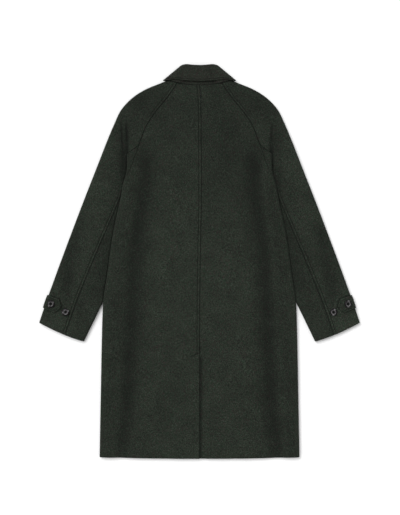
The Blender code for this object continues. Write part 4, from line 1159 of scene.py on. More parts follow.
def make_sleeve_front(side, name):
    along = sleeve_alongs()
    width = sleeve_section(along)[2]
    reach = width - arm_seam(along) - SEAM_GAP
    bare = (reach < LEAST_STRIP)[:, 0]
    across = across_sleeve(along, width)
    flat = sleeve_point(side, along, -1, across)
    flat[:, 0, 2] -= SEAM_GAP / 2
    flat[bare, -1, 2] -= SEAM_GAP / 2 * beside_body(along)[bare, 0]
    inset = reach * (np.arange(1, SLEEVE_STRIPS + 1) / SLEEVE_STRIPS) ** SLEEVE_CROWDING
    folded = width - np.maximum(inset, 0.0)
    over = sleeve_point(side, along, 1, folded)
    over[bare] = np.nan
    points = close_strips(np.concatenate([flat, over], axis=1), SLEEVE_STRIPS)
    masks = sleeve_masks(side, along, np.concatenate([across, folded], axis=1))
    under = slice(0, across.shape[1] - UPPER_COLUMNS)
    half, drop = np.abs(flat[..., 0]), NAPE_Y - flat[..., 1]
    masks["shade"][:, under] = painted_shade("under sleeve", side, half, drop)[:, under]
    masks["pressed_and_shadow"][:, under] = 0.0
    return shell(name, points, CLOTH, side > 0, masks)


# Collar

LEAF_SPREADS = (1.0, 0.985, 0.965, 0.945, 0.925, 0.91, 0.895, 0.88, 0.865, 0.85, 0.83, 0.79, 0.72, 0.62,
                0.50, 0.38, 0.26, 0.14, 0.06, 0.0)


def leaf_side(share):
    """Half-width and drop of the leaf's folded side, from the roll at 0 to its lower edge at 1."""
    half = blend(ROLL_HALF, LEAF_TIP_HALF, share)
    drop = blend(ROLL_DROP - ROLL_END_RISE, float(leaf_edge_drop(LEAF_TIP_HALF)), share)
    return half, drop


def leaf_top(side_share, share):
    """Half and drop on the back of the leaf; side_share runs from -1 to 1 across it."""
    half = side_share * (leaf_side(share)[0] - COLLAR_SIDE_INSET)
    roll = ROLL_DROP - ROLL_END_RISE * side_share ** 2
    edge = float(leaf_edge_drop(abs(side_share) * LEAF_TIP_HALF))
    return half, blend(roll, edge, share)


def wing(along, share):
    """Half and drop on a wing under the fronts; along runs from the folded side to the front edge."""
    side_half, side_drop = leaf_side(share)
    start = Vector((side_half - COLLAR_SIDE_INSET, side_drop))
    bend, end = [Vector((blend(roll.half, edge.half, share), blend(roll.drop, edge.drop, share)))
                 for roll, edge in (WING_BEND, WING_END)]
    return start * (1 - along) ** 2 + bend * (2 * along * (1 - along)) + end * along ** 2


def leaf_width():
    """Length of the leaf from its roll to its lower edge at the centre back."""
    return float(leaf_edge_drop(0.0)) - ROLL_DROP


def leaf_profile():
    """The leaf's section from its lower edge over the roll, as rows of spread, tuck and depth.

    spread is a share of the leaf below its roll, tuck a distance from the roll's top and depth a
    distance in from the leaf's face.
    """
    profile = []
    for spread in LEAF_SPREADS:
        from_edge = (1 - spread) * leaf_width()
        depth = STITCH_DEPTH * bell(from_edge - LEAF_STITCH_IN, STITCH_WIDTH)
        depth -= LEAF_RIDGE_RISE * bell(from_edge - LEAF_RIDGE_IN, RIDGE_WIDTH)
        profile.append((spread, ROLL_RADIUS, depth - float(lip(from_edge)) * LEAF_LIP))
    for turn in LEAF_TURNS[1:]:
        profile.append((0.0, ROLL_RADIUS * (1 - math.sin(turn)), ROLL_RADIUS * (1 - math.cos(turn))))
    return profile


def leaf_share(spread, tuck, start, end, slant):
    """Share of the leaf's width at a spread and tuck, between its roll and its lower edge.

    slant lengthens the roll's turn where the leaf runs down from the roll at a slant.
    """
    width = math.hypot(end[0] - start[0], end[1] - start[1])
    return (tuck * slant + spread * (width - ROLL_RADIUS * slant)) / width


def leaf_row(spread, tuck, depth, lip_row=False):
    """One line of the collar leaf, from the left wing over the back to the right wing."""
    nothing = (math.nan, math.nan, math.nan)
    right = []
    for across in np.linspace(0.0, 1.0, LEAF_COLUMNS):
        slant = blend(1.0, LEAF_SLANT, across ** 2)
        share = leaf_share(spread, tuck, leaf_top(across, 0.0), leaf_top(across, 1.0), slant)
        half, drop = leaf_top(across, share)
        bump = float(wave_heights(1, np.array(half * 2), np.array(drop))) * (1 - across)
        right.append(nothing if lip_row else (half, NAPE_Y - drop, COLLAR_TOP - depth + bump))
    side_half, side_drop = leaf_side(leaf_share(spread, tuck, leaf_side(0.0), leaf_side(1.0), LEAF_SLANT))
    for turn in LEAF_TURNS[1:-1]:
        half = side_half - COLLAR_SIDE_INSET + (COLLAR_SIDE_ROUND - depth) * math.sin(turn) * LEAF_SLANT
        height = COLLAR_SIDE_ROUND + (COLLAR_SIDE_ROUND - depth) * math.cos(turn)
        right.append(nothing if lip_row else (half, NAPE_Y - side_drop, height))
    for along in np.linspace(0.0, 1.0, WING_COLUMNS):
        slant = blend(LEAF_SLANT, 1.0, float(smooth(along / WING_SLANT_END)))
        spot = wing(along, leaf_share(spread, tuck, wing(along, 0.0), wing(along, 1.0), slant))
        hidden = lip_row and along < WING_LIP_START
        right.append(nothing if hidden else (spot.x, NAPE_Y - spot.y, max(depth, 0.0)))
    right = np.array(right)
    return np.concatenate([right[:0:-1] * [-1.0, 1.0, 1.0], right])


def make_collar_leaf(name):
    profile = leaf_profile()
    rows = [leaf_row(*row) for row in profile]
    rows.append(leaf_row(0.0, ROLL_RADIUS + WING_LIP, 2 * ROLL_RADIUS, lip_row=True))
    points = np.stack(rows)
    from_edge = np.array([(1 - row[0]) * leaf_width() for row in profile] + [1.0])[:, None]
    row = ROW_PRESS * near_mark(from_edge - LEAF_STITCH_IN, ROW_PRESS_WIDTH)
    # painted highlight along the leaf's rounded lower edge
    shade = LEAF_SHADE * (1 + EDGE_HIGHLIGHT * near_mark(from_edge, EDGE_HIGHLIGHT_WIDTH))
    masks = {"pressed_and_shadow": row, "shade": shade}
    return shell(name, points, COLLAR_CLOTH, False, masks, upright=NEVER_UPRIGHT)


def stand_rise(half, drop):
    """How far the stand lifts towards its ends, where it lies over the tops of the sleeves."""
    return STAND_OVER * smooth((np.abs(half) - raglan(drop) + STAND_RISE_IN) / STAND_RISE_LENGTH)


def make_collar_stand(name):
    """The stand behind the leaf, from the roll down to the neck seam."""
    across = np.linspace(-1.0, 1.0, STAND_COLUMNS)
    share = STAND_SHARES[:, None]
    half = across * blend(ROLL_HALF - COLLAR_SIDE_INSET, STAND_HALF, share)
    roll = ROLL_DROP - ROLL_END_RISE * across ** 2 + ROLL_RADIUS + 2 * SEAM_GAP
    seam = -NECK_LIFT * (half / NECK_HALF) ** 2 + SEAM_GAP
    drop = blend(roll, seam, share)
    height = BODY_RISE + stand_rise(half, drop) + ditch(seam - drop)
    masks = {"pressed_and_shadow": near_mark(seam - drop), "shade": np.full_like(drop, STAND_SHADE)}
    return shell(name, place(1, half, drop, height), COLLAR_CLOTH, True, masks)


# Cuff tabs

def ring_across(ring):
    """Distance across the sleeve at a distance round its rounded outer edge."""
    quarter = EDGE_ROUND * math.pi / 2
    turn = np.minimum(np.abs(ring), quarter) / EDGE_ROUND
    return EDGE_ROUND * (1 - np.cos(turn)) + np.maximum(0.0, np.abs(ring) - quarter)


def tab_along(across):
    """Place along the sleeve of the tab's middle line, which runs square in from the outer edge."""
    return TAB_ALONG - across * TAB_FRAME[3]


def ring_point(side, along, ring):
    """A point by its distance round the outer edge: positive on the upper cloth, negative below."""
    across = ring_across(ring)
    upper = sleeve_point(side, along, 1, across)
    lower = sleeve_point(side, along, -1, across)
    return np.where((ring > 0)[..., None], upper, lower)


def ring_normal(side, along, ring):
    """The outward direction of the sleeve's face."""
    round_edge = ring_point(side, along, ring + RING_STEP) - ring_point(side, along, ring - RING_STEP)
    down_arm = ring_point(side, along + RING_STEP, ring) - ring_point(side, along - RING_STEP, ring)
    normal = np.cross(round_edge, down_arm) * side
    return normal / np.linalg.norm(normal, axis=-1, keepdims=True)


def tab_places():
    """Distance along the sleeve, distance round its edge and distance from the tab's own edge."""
    straight = np.linspace(-TAB_UNDER, TAB_STRAIGHT, TAB_STRAIGHT_COLUMNS)
    point = np.linspace(TAB_STRAIGHT, TAB_REACH, TAB_POINT_COLUMNS)
    reach = np.concatenate([straight, point[1:]])
    ring = reach + np.clip(reach / TAB_TURN_REACH, -1, 1) * TURN_EXTRA
    ring = np.where(np.abs(ring) < LEAST_RING, LEAST_RING, ring)
    side_share = 1 - TAB_INSETS / (TAB_WIDTH / 2)
    across = np.concatenate([-side_share, [0.0], side_share[::-1]])[:, None]
    into_point = np.clip((reach - TAB_STRAIGHT) / (TAB_REACH - TAB_STRAIGHT), 0.0, 1.0)
    aside = across * blend(1.0, TAB_POINT, into_point) * TAB_WIDTH / 2
    along = tab_along(ring_across(ring)) + aside
    return along, np.broadcast_to(ring, along.shape), np.maximum(tab_inset(reach, aside), 0.0)


def make_tab(side, name):
    along, ring, from_edge = tab_places()
    row = bell(from_edge - TAB_STITCH_IN, STITCH_WIDTH)
    relief = lip(from_edge) * TAB_LIP - TAB_STITCH_DEPTH * row
    out = SIDE_GAP + TAB_CLOTH + relief
    points = ring_point(side, along, ring) + ring_normal(side, along, ring) * out[..., None]
    # painted highlight along the tab's rounded edge
    shade = TAB_SHADE * (1 + EDGE_HIGHLIGHT * near_mark(from_edge, EDGE_HIGHLIGHT_WIDTH))
    masks = {"pressed_and_shadow": TAB_ROW_PRESS * row, "shade": shade}
    return shell(name, points, TAB_CLOTH, side < 0, masks)


# Buttons

BUTTON_SIDES = 56
# The rim and tail values below place a painted highlight on the button's raised ring: a ring shifted off
# the middle and two short tails
RIM_MIDDLE = 0.54
RIM_WIDTH = 0.080
RIM_SHIFT = Vector((-0.03, 0.03))
TAIL_TURNS = (-0.9, 2.5)
TAIL_MIDDLE = 0.80
TAIL_WIDTH = 0.13
TAIL_SPREAD = 0.28
HOLE_RADIUS = 0.00105
HOLE_SPREAD = 0.00265
HOLE_SIDES = 16
SHARP_ANGLE = math.radians(40)
THREAD_RADIUS = 0.00042
THREAD_SIDES = 8
THREAD_SUNK = 0.0001
THREAD_DEPTH = 0.2 * BUTTON_HEIGHT
STRAND_RADIUS = 0.8 * THREAD_RADIUS
STRAND_SPREAD = 1.3
STRAND_DROP = 0.2
CROSSING_RISE = 1.1
BAR_RISE = 0.9
ButtonRow = namedtuple("ButtonRow", "radius height")
BUTTON_SECTION = [
    ButtonRow(radius=0.20, height=0.56),
    ButtonRow(radius=0.36, height=0.58),
    ButtonRow(radius=0.43, height=0.63),
    ButtonRow(radius=0.48, height=0.76),
    ButtonRow(radius=0.54, height=0.91),
    ButtonRow(radius=0.60, height=0.98),
    ButtonRow(radius=0.69, height=1.00),
    ButtonRow(radius=0.79, height=0.98),
    ButtonRow(radius=0.86, height=0.92),
    ButtonRow(radius=0.92, height=0.82),
    ButtonRow(radius=0.97, height=0.68),
    ButtonRow(radius=1.00, height=0.50),
    ButtonRow(radius=0.985, height=0.34),
    ButtonRow(radius=0.93, height=0.18),
    ButtonRow(radius=0.82, height=0.05),
    ButtonRow(radius=0.70, height=0.00),
]


def button_frame(side, node, along, across):
    """Middle of a button's underside and the turn that squares it to the cloth it lies on."""
    low, high = (Vector(corner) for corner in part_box(node))
    ring = np.array(across + TURN_EXTRA)
    outward = Vector(ring_normal(side, np.array(along), ring).tolist())
    foot = (low + high) / 2 - outward * BUTTON_HEIGHT / 2
    return foot, outward.to_track_quat("Z", "Y")


def turned_section(mesh, rows, sides):
    """A closed solid of revolution through the rows of a section, top first."""
    rings = []
    for row in rows:
        rings.append([mesh.verts.new((row.radius * math.cos(turn), row.radius * math.sin(turn), row.height))
                      for turn in ring_turns(sides)])
    for upper, lower in zip(rings, rings[1:]):
        for i in range(sides):
            after = (i + 1) % sides
            mesh.faces.new([upper[i], lower[i], lower[after], upper[after]])
    mesh.faces.new(rings[0])
    mesh.faces.new(reversed(rings[-1]))


def hole_places():
    """Middles of the four sewing holes."""
    return [Vector((HOLE_SPREAD * x, HOLE_SPREAD * y, 0.0)) for x in (-0.5, 0.5) for y in (-0.5, 0.5)]


def make_button(side, name, along, across, turned):
    foot, way = button_frame(side, name, along, across)
    mesh = bmesh.new()
    rows = [ButtonRow(row.radius * BUTTON_RADIUS, row.height * BUTTON_HEIGHT) for row in BUTTON_SECTION]
    turned_section(mesh, rows, BUTTON_SIDES)
    data = bpy.data.meshes.new(name + "_body")
    mesh.to_mesh(data)
    mesh.free()
    piece = add_piece(name + "_horn", data)
    cutter = make_hole_cutter(name)
    cut = piece.modifiers.new("sewing holes", "BOOLEAN")
    cut.object = cutter
    cut.operation = "DIFFERENCE"
    bpy.context.view_layer.update()
    holed = bpy.data.meshes.new_from_object(piece.evaluated_get(bpy.context.evaluated_depsgraph_get()))
    piece.modifiers.clear()
    piece.data = holed
    bpy.data.objects.remove(cutter)
    placed = way.to_matrix().to_4x4()
    placed.translation = foot
    mark_painted_highlight(holed)
    placed = placed @ Matrix.Rotation(turned, 4, "Z")
    holed.transform(placed)
    holed.shade_smooth()
    holed.set_sharp_from_angle(angle=SHARP_ANGLE)
    return piece, make_button_thread(name, placed)


def mark_painted_highlight(data):
    """Store how near each point lies to the button's raised ring and its tails, where a painted highlight
    lies.
    """
    layer = data.attributes.new("painted_highlight", "FLOAT", "POINT")
    for vertex, mark in zip(data.vertices, layer.data):
        spot = vertex.co.xy / BUTTON_RADIUS - RIM_SHIFT
        ring = bell(spot.length - RIM_MIDDLE, RIM_WIDTH)
        tails = [highlight_tail(spot, turn) for turn in TAIL_TURNS]
        mark.value = max([ring] + tails)


def highlight_tail(spot, turn):
    """A short streak of painted highlight that runs out from the ring on one side."""
    away = abs((math.atan2(spot.y, spot.x) - turn + math.pi) % (2 * math.pi) - math.pi)
    return bell(spot.length - TAIL_MIDDLE, TAIL_WIDTH) * bell(away, TAIL_SPREAD)


def make_hole_cutter(name):
    mesh = bmesh.new()
    for middle in hole_places():
        drill = bmesh.ops.create_cone(mesh, cap_ends=True, segments=HOLE_SIDES, radius1=HOLE_RADIUS,
                                      radius2=HOLE_RADIUS, depth=4 * BUTTON_HEIGHT)
        bmesh.ops.translate(mesh, verts=drill["verts"], vec=middle)
    data = bpy.data.meshes.new(name + "_holes")
    mesh.to_mesh(data)
    mesh.free()
    return add_piece(name + "_holes", data)


def make_button_thread(name, placed):
    """Two crossed bars of thread through the holes, each of three strands."""
    mesh = bmesh.new()
    level = BUTTON_SECTION[0].height * BUTTON_HEIGHT + BAR_RISE * THREAD_RADIUS
    holes = hole_places()
    for number, (start, end) in enumerate(((holes[0], holes[3]), (holes[1], holes[2]))):
        along = (end - start).normalized()
        aside = Vector((-along.y, along.x, 0.0))
        for strand in (-1, 0, 1):
            shift = aside * strand * THREAD_RADIUS * STRAND_SPREAD
            rise = number * THREAD_RADIUS * CROSSING_RISE
            high = level + rise - abs(strand) * STRAND_DROP * THREAD_RADIUS
            ends = [start + shift, start + shift, end + shift, end + shift]
            heights = [-THREAD_DEPTH, high - THREAD_SUNK, high - THREAD_SUNK, -THREAD_DEPTH]
            path = [Vector((spot.x, spot.y, height)) for spot, height in zip(ends, heights)]
            add_tube(mesh, path, STRAND_RADIUS, THREAD_SIDES)
    data = bpy.data.meshes.new(name + "_thread")
    mesh.to_mesh(data)
    mesh.free()
    data.transform(placed)
    data.shade_smooth()
    return add_piece(name + "_thread", data)


def add_tube(mesh, path, radius, sides):
    """A closed tube along a path of points."""
    rings = []
    for i, spot in enumerate(path):
        ahead = (path[min(i + 1, len(path) - 1)] - path[max(i - 1, 0)]).normalized()
        across = ahead.orthogonal().normalized()
        other = ahead.cross(across)
        rings.append([mesh.verts.new(spot + (across * math.cos(turn) + other * math.sin(turn)) * radius)
                      for turn in ring_turns(sides)])
    for before, after in zip(rings, rings[1:]):
        shift = nearest_start(before, after)
        for k in range(sides):
            corners = [before[k], before[(k + 1) % sides]]
            corners += [after[(k + 1 + shift) % sides], after[(k + shift) % sides]]
            mesh.faces.new(corners)
        rings[rings.index(after)][:] = after[shift:] + after[:shift]
    mesh.faces.new(reversed(rings[0]))
    mesh.faces.new(rings[-1])


def nearest_start(before, after):
    """Which point of the next ring lies nearest to the first of this one."""
    gaps = [(vertex.co - before[0].co).length for vertex in after]
    return gaps.index(min(gaps))


# Rows of stitches

def on_path(points, total, places):
    """Points at distances along a path whose own points lie at the total distances."""
    return np.stack([np.interp(places, total, points[:, axis]) for axis in range(3)], axis=1)


def along_path(points, pitch):
    """Points a pitch apart along a path, with the direction at each."""
    steps = np.linalg.norm(np.diff(points, axis=0), axis=1)
    total = np.concatenate([[0.0], np.cumsum(steps)])
    places = np.arange(pitch / 2, total[-1], pitch)
    ways = on_path(points, total, places + pitch / 4) - on_path(points, total, places - pitch / 4)
    return on_path(points, total, places), ways / np.linalg.norm(ways, axis=1, keepdims=True)


UP = np.array([0.0, 0.0, 1.0])
StitchRing = namedtuple("StitchRing", "along size sink")
STITCH_RINGS = [
    StitchRing(along=-0.50, size=0.35, sink=0.9),
    StitchRing(along=-0.36, size=0.85, sink=0.3),
    StitchRing(along=0.0, size=1.0, sink=0.0),
    StitchRing(along=0.36, size=0.85, sink=0.3),
    StitchRing(along=0.50, size=0.35, sink=0.9),
]


def stitch_points(spot, way):
    """Rings of points round one short thread."""
    across = np.cross(UP, way)
    across /= np.linalg.norm(across)
    above = np.cross(way, across)
    points = []
    for ring in STITCH_RINGS:
        middle = spot + way * ring.along * STITCH_LENGTH - above * ring.sink * STITCH_RADIUS
        radius = STITCH_RADIUS * ring.size
        for turn in ring_turns(STITCH_SIDES):
            points.append(middle + (across * math.cos(turn) + above * math.sin(turn)) * radius)
    return points


def stitch_faces(first):
    """Sides and ends of one short thread, whose points are numbered from the first."""
    faces = []
    for ring in range(len(STITCH_RINGS) - 1):
        start = first + ring * STITCH_SIDES
        beyond = start + STITCH_SIDES
        for k in range(STITCH_SIDES):
            after = (k + 1) % STITCH_SIDES
            faces.append([start + k, start + after, beyond + after, beyond + k])
    last = first + (len(STITCH_RINGS) - 1) * STITCH_SIDES
    faces.append(list(range(first, first + STITCH_SIDES))[::-1])
    faces.append(list(range(last, last + STITCH_SIDES)))
    return faces


def make_stitches(name, runs):
    """Short threads lying along sewn rows; each run is a path on the cloth."""
    points, faces = [], []
    for run in runs:
        for spot, way in zip(*along_path(run, STITCH_PITCH)):
            faces += stitch_faces(len(points))
            points += stitch_points(spot, way)
    data = bpy.data.meshes.new(name)
    data.from_pydata([tuple(point) for point in points], [], faces)
    data.shade_smooth()
    return add_piece(name, data)


def back_path(side, half, drop):
    """A path on the back panel, just above its cloth."""
    half, drop = np.broadcast_arrays(half, drop)
    return place_back(side, half, drop, back_height(side, half, drop) + THREAD_ABOVE)


def raglan_stitch_path(side):
    """The row of stitches beside the raglan seam, on the sleeve."""
    drop = np.linspace(0.0, ARMPIT_DROP - ROW_END_CLEAR, RAGLAN_PATH)
    slope = slope_at(raglan, drop)
    half = raglan(drop) + STITCH_FROM_SEAM / np.sqrt(1 + slope ** 2)
    here = drop - STITCH_FROM_SEAM * slope / np.sqrt(1 + slope ** 2)
    height = crown("sleeve", side, half, here) + stitched(np.full_like(half, STITCH_FROM_SEAM))
    return place(side, half, here, height + THREAD_ABOVE)


def arm_stitch_path(side):
    """The row of stitches beside the seam on the back of the arm."""
    along = np.linspace(0.0, SLEEVE_LENGTH - ROW_END_CLEAR, ARM_PATH)
    along = along[inner_drop(along) > ARM_SEAM_START_DROP + ARM_ROW_CLEAR]
    path = sleeve_point(side, along, 1, arm_seam(along) - STITCH_FROM_SEAM)
    return path + UP * THREAD_ABOVE


def leaf_stitch_path():
    """The row of stitches along the collar leaf's lower edge."""
    share = 1 - LEAF_STITCH_IN / leaf_width()
    path = []
    for across in np.linspace(-1.0, 1.0, LEAF_PATH):
        half, drop = leaf_top(across, share)
        path.append((half, NAPE_Y - drop, COLLAR_TOP - STITCH_DEPTH + THREAD_ABOVE))
    return np.array(path)


def tab_stitch_path(side):
    """The row of stitches inside the tab's edge: along one side, round the point and back."""
    wide = TAB_WIDTH / 2 - TAB_STITCH_IN
    straight = np.linspace(TAB_ROW_START, TAB_STRAIGHT - TAB_ROW_CLEAR, TAB_PATH)
    to_tip = np.append(straight, TAB_REACH - TAB_ROW_TIP)
    beside = np.append(np.full(TAB_PATH, wide), TAB_ROW_TIP_HALF)
    ring = np.concatenate([to_tip, to_tip[::-1]]) + TURN_EXTRA
    along = tab_along(ring_across(ring)) + np.concatenate([-beside, beside[::-1]])
    out = SIDE_GAP + TAB_CLOTH - TAB_STITCH_DEPTH + THREAD_ABOVE
    return ring_point(side, along, ring) + ring_normal(side, along, ring) * out


def make_all_stitches(side, word):
    runs = {
        "stitches_raglan_" + word: [raglan_stitch_path(side)],
        "stitches_arm_seam_" + word: [arm_stitch_path(side)],
        "stitches_tab_" + word: [tab_stitch_path(side)],
    }
    if side < 0:
        above_vent = np.linspace(ROW_END_CLEAR, VENT_TOP - ROW_END_CLEAR, CENTRE_PATH)
        share = np.linspace(0.0, 1.0, TACK_PATH)
        tack = back_path(side, blend(VENT_TACK[0].half, VENT_TACK[1].half, share),
                         blend(VENT_TACK[0].drop, VENT_TACK[1].drop, share))
        runs["stitches_centre_back"] = [back_path(side, STITCH_FROM_SEAM, above_vent), tack]
        runs["stitches_collar"] = [leaf_stitch_path()]
    return [make_stitches(name, paths) for name, paths in runs.items()]


# Materials

def new_group(name, inputs, outputs):
    """An empty node group with named sockets."""
    group = bpy.data.node_groups.new(name, "ShaderNodeTree")
    for word, kind, value in inputs:
        socket = group.interface.new_socket(word, in_out="INPUT", socket_type="NodeSocket" + kind)
        if value is not None:
            socket.default_value = value
    for word, kind in outputs:
        group.interface.new_socket(word, in_out="OUTPUT", socket_type="NodeSocket" + kind)
    return group, group.nodes.new("NodeGroupInput"), group.nodes.new("NodeGroupOutput")


def add_math(tree, operation, first, second=None, clamp=False):
    """A sum in nodes; each term is a socket or a number."""
    node = tree.nodes.new("ShaderNodeMath")
    node.operation = operation
    node.use_clamp = clamp
    for socket, term in zip(node.inputs, (first, second)):
        if isinstance(term, (int, float)):
            socket.default_value = term
        elif term is not None:
            tree.links.new(term, socket)
    return node.outputs[0]


def add_noise(tree, coordinates, scale, detail=2.0, roughness=0.5):
    """Noise over the surface; scale is a number or a socket."""
    node = tree.nodes.new("ShaderNodeTexNoise")
    tree.links.new(coordinates, node.inputs["Vector"])
    if isinstance(scale, (int, float)):
        node.inputs["Scale"].default_value = scale
    else:
        tree.links.new(scale, node.inputs["Scale"])
    node.inputs["Detail"].default_value = detail
    node.inputs["Roughness"].default_value = roughness
    return node.outputs["Fac"]


def add_range(tree, value, low, high, to_low, to_high):
    """A value carried from one range to another, smoothly and held at the ends."""
    node = tree.nodes.new("ShaderNodeMapRange")
    node.interpolation_type = "SMOOTHSTEP"
    tree.links.new(value, node.inputs["Value"])
    for word, number in zip(("From Min", "From Max", "To Min", "To Max"), (low, high, to_low, to_high)):
        node.inputs[word].default_value = number
    return node.outputs["Result"]


MIX_SOCKETS = (0, 6, 7)


def add_mix(tree, share, first, second, way="MIX"):
    """Two colours mixed; share and colours are sockets, numbers or colours."""
    node = tree.nodes.new("ShaderNodeMix")
    node.data_type = "RGBA"
    node.blend_type = way
    for number, term in zip(MIX_SOCKETS, (share, first, second)):
        socket = node.inputs[number]
        if isinstance(term, (int, float)):
            socket.default_value = term
        elif isinstance(term, tuple):
            socket.default_value = (*term, 1.0)
        else:
            tree.links.new(term, socket)
    return node.outputs[2]


def add_stretch(tree, coordinates, turn, stretch):
    """Coordinates turned in the plane of the cloth and drawn out one way."""
    node = tree.nodes.new("ShaderNodeMapping")
    tree.links.new(coordinates, node.inputs["Vector"])
    node.inputs["Rotation"].default_value = (0.0, 0.0, turn)
    node.inputs["Scale"].default_value = (1.0, stretch, 1.0)
    return node.outputs["Vector"]


def add_fleck(tree, coordinates, scale, ragged, fleck):
    """How far one kind of fibre shows, in drawn-out flecks with ragged edges."""
    where = add_stretch(tree, coordinates, fleck.turn, fleck.stretch)
    spots = add_noise(tree, where, add_math(tree, "MULTIPLY", scale, fleck.scale), 1.0)
    return add_range(tree, add_math(tree, "ADD", spots, ragged), fleck.low, fleck.high, 0.0, 1.0)


def melange_group():
    """Colour of mixed fibres: moss with bark, smoke and ink flecks, darker along seams and rows, in painted
    shadow and in the painted shade of hollows.
    """
    group, start, end = new_group(
        "wool melange",
        [("Coordinates", "Vector", None), ("Fleck Scale", "Float", 450.0), ("Bark Share", "Float", 0.85),
         ("Moss", "Color", (*MOSS, 1)), ("Bark", "Color", (*BARK, 1)), ("Smoke", "Color", (*SMOKE, 1)),
         ("Ink", "Color", (*INK, 1)), ("Pressed", "Float", 0.0), ("Shade", "Float", 1.0)],
        [("Color", "Color"), ("Fuzz", "Float")],
    )
    where, scale = start.outputs["Coordinates"], start.outputs["Fleck Scale"]
    fine = add_math(group, "MULTIPLY", scale, FUZZ_SCALE)
    fuzz = add_noise(group, add_stretch(group, where, 0.5, 0.3), fine, 2.0)
    ragged = add_math(group, "MULTIPLY", add_math(group, "SUBTRACT", fuzz, 0.5), RAGGED)
    brown = add_fleck(group, where, scale, ragged, BROWN_FLECK)
    share = add_math(group, "MULTIPLY", brown, start.outputs["Bark Share"])
    cloud = add_noise(group, where, 20.0, 3.0, 0.6)
    colour = add_mix(group, share, start.outputs["Moss"], start.outputs["Bark"])
    for fleck, word in ((PALE_FLECK, "Smoke"), (DARK_FLECK, "Ink")):
        shown = add_fleck(group, where, scale, ragged, fleck)
        colour = add_mix(group, shown, colour, start.outputs[word])
    shade, pressed_and_shadow = start.outputs["Shade"], start.outputs["Pressed"]
    for value, limits in ((cloud, CLOUD_SHADE), (fuzz, FUZZ_SHADE), (pressed_and_shadow, PRESS_AND_SHADOW_DARKENING)):
        shade = add_math(group, "MULTIPLY", shade, add_range(group, value, *limits))
    colour = add_mix(group, 1.0, colour, grey_of(group, shade), "MULTIPLY")
    group.links.new(colour, end.inputs["Color"])
    group.links.new(fuzz, end.inputs["Fuzz"])
    return group


def grey_of(tree, value):
    """A value as a grey colour."""
    node = tree.nodes.new("ShaderNodeCombineColor")
    for word in ("Red", "Green", "Blue"):
        tree.links.new(value, node.inputs[word])
    return node.outputs["Color"]


def nap_group():
    """Height of the weave under its raised nap."""
    group, start, end = new_group(
        "wool nap",
        [("Coordinates", "Vector", None), ("Twill Scale", "Float", 300.0), ("Nap Scale", "Float", 900.0)],
        [("Height", "Float")],
    )
    where, nap_scale = start.outputs["Coordinates"], start.outputs["Nap Scale"]
    twill = group.nodes.new("ShaderNodeTexWave")
    twill.bands_direction = "DIAGONAL"
    group.links.new(where, twill.inputs["Vector"])
    group.links.new(start.outputs["Twill Scale"], twill.inputs["Scale"])
    twill.inputs["Distortion"].default_value = 3.5
    twill.inputs["Detail"].default_value = 2.0
    twill.inputs["Detail Scale"].default_value = 1.5
    nap = add_noise(group, add_stretch(group, where, 0.5, 0.4), nap_scale, 3.0, 0.65)
    clumps = add_noise(group, where, add_math(group, "MULTIPLY", nap_scale, CLUMP_SCALE), 2.0, 0.5)
    height = add_math(group, "MULTIPLY", twill.outputs["Fac"], TWILL_SHARE)
    height = add_math(group, "ADD", height, nap)
    height = add_math(group, "ADD", height, add_math(group, "MULTIPLY", clumps, CLUMP_SHARE))
    group.links.new(height, end.inputs["Height"])
    return group


def new_material(name):
    made = bpy.data.materials.new(name)
    made.use_nodes = True
    return made, made.node_tree, made.node_tree.nodes["Principled BSDF"]


def place_group(tree, group, **values):
    """A group placed in a material with its own values."""
    node = tree.nodes.new("ShaderNodeGroup")
    node.node_tree = group
    for word, value in values.items():
        socket = node.inputs[word.replace("_", " ")]
        if hasattr(value, "is_output"):
            tree.links.new(value, socket)
        else:
            socket.default_value = value
    return node


def surface_coordinates(tree):
    return tree.nodes.new("ShaderNodeTexCoord").outputs["Object"]


def add_mask(tree, word):
    """A value stored with the points of the cloth."""
    node = tree.nodes.new("ShaderNodeAttribute")
    node.attribute_name = word
    return node.outputs["Fac"]


def add_bump(tree, height, shader, distance, strength=1.0):
    node = tree.nodes.new("ShaderNodeBump")
    node.inputs["Distance"].default_value = distance
    node.inputs["Strength"].default_value = strength
    tree.links.new(height, node.inputs["Height"])
    tree.links.new(node.outputs["Normal"], shader.inputs["Normal"])


def wool_material(name, melange, nap, bark_share, moss):
    made, tree, shader = new_material(name)
    where = surface_coordinates(tree)
    fibres = place_group(tree, melange, Coordinates=where, Bark_Share=bark_share, Moss=(*moss, 1),
                         Pressed=add_mask(tree, "pressed_and_shadow"), Shade=add_mask(tree, "shade"))
    relief = place_group(tree, nap, Coordinates=where)
    tree.links.new(fibres.outputs["Color"], shader.inputs["Base Color"])
    roughness = add_range(tree, fibres.outputs["Fuzz"], *FUZZ_ROUGHNESS)
    tree.links.new(roughness, shader.inputs["Roughness"])
    add_bump(tree, relief.outputs["Height"], shader, 0.0006, 0.8)
    shader.inputs["Specular IOR Level"].default_value = 0.15
    shader.inputs["Sheen Weight"].default_value = 0.06
    shader.inputs["Sheen Roughness"].default_value = 0.45
    shader.inputs["Sheen Tint"].default_value = (0.50, 0.58, 0.50, 1.0)
    return made


def thread_material():
    """Twisted sewing thread."""
    made, tree, shader = new_material("dark green thread")
    where = surface_coordinates(tree)
    twist = add_noise(tree, add_stretch(tree, where, 0.7, 0.25), 2600.0, 1.0)
    lighter = tuple(1.7 * value for value in THREAD_GREEN)
    colour = add_mix(tree, add_range(tree, twist, 0.35, 0.65, 0.0, 1.0), THREAD_GREEN, lighter)
    tree.links.new(colour, shader.inputs["Base Color"])
    tree.links.new(add_range(tree, twist, *THREAD_ROUGHNESS), shader.inputs["Roughness"])
    add_bump(tree, twist, shader, 0.0002)
    shader.inputs["Specular IOR Level"].default_value = 0.06
    return made


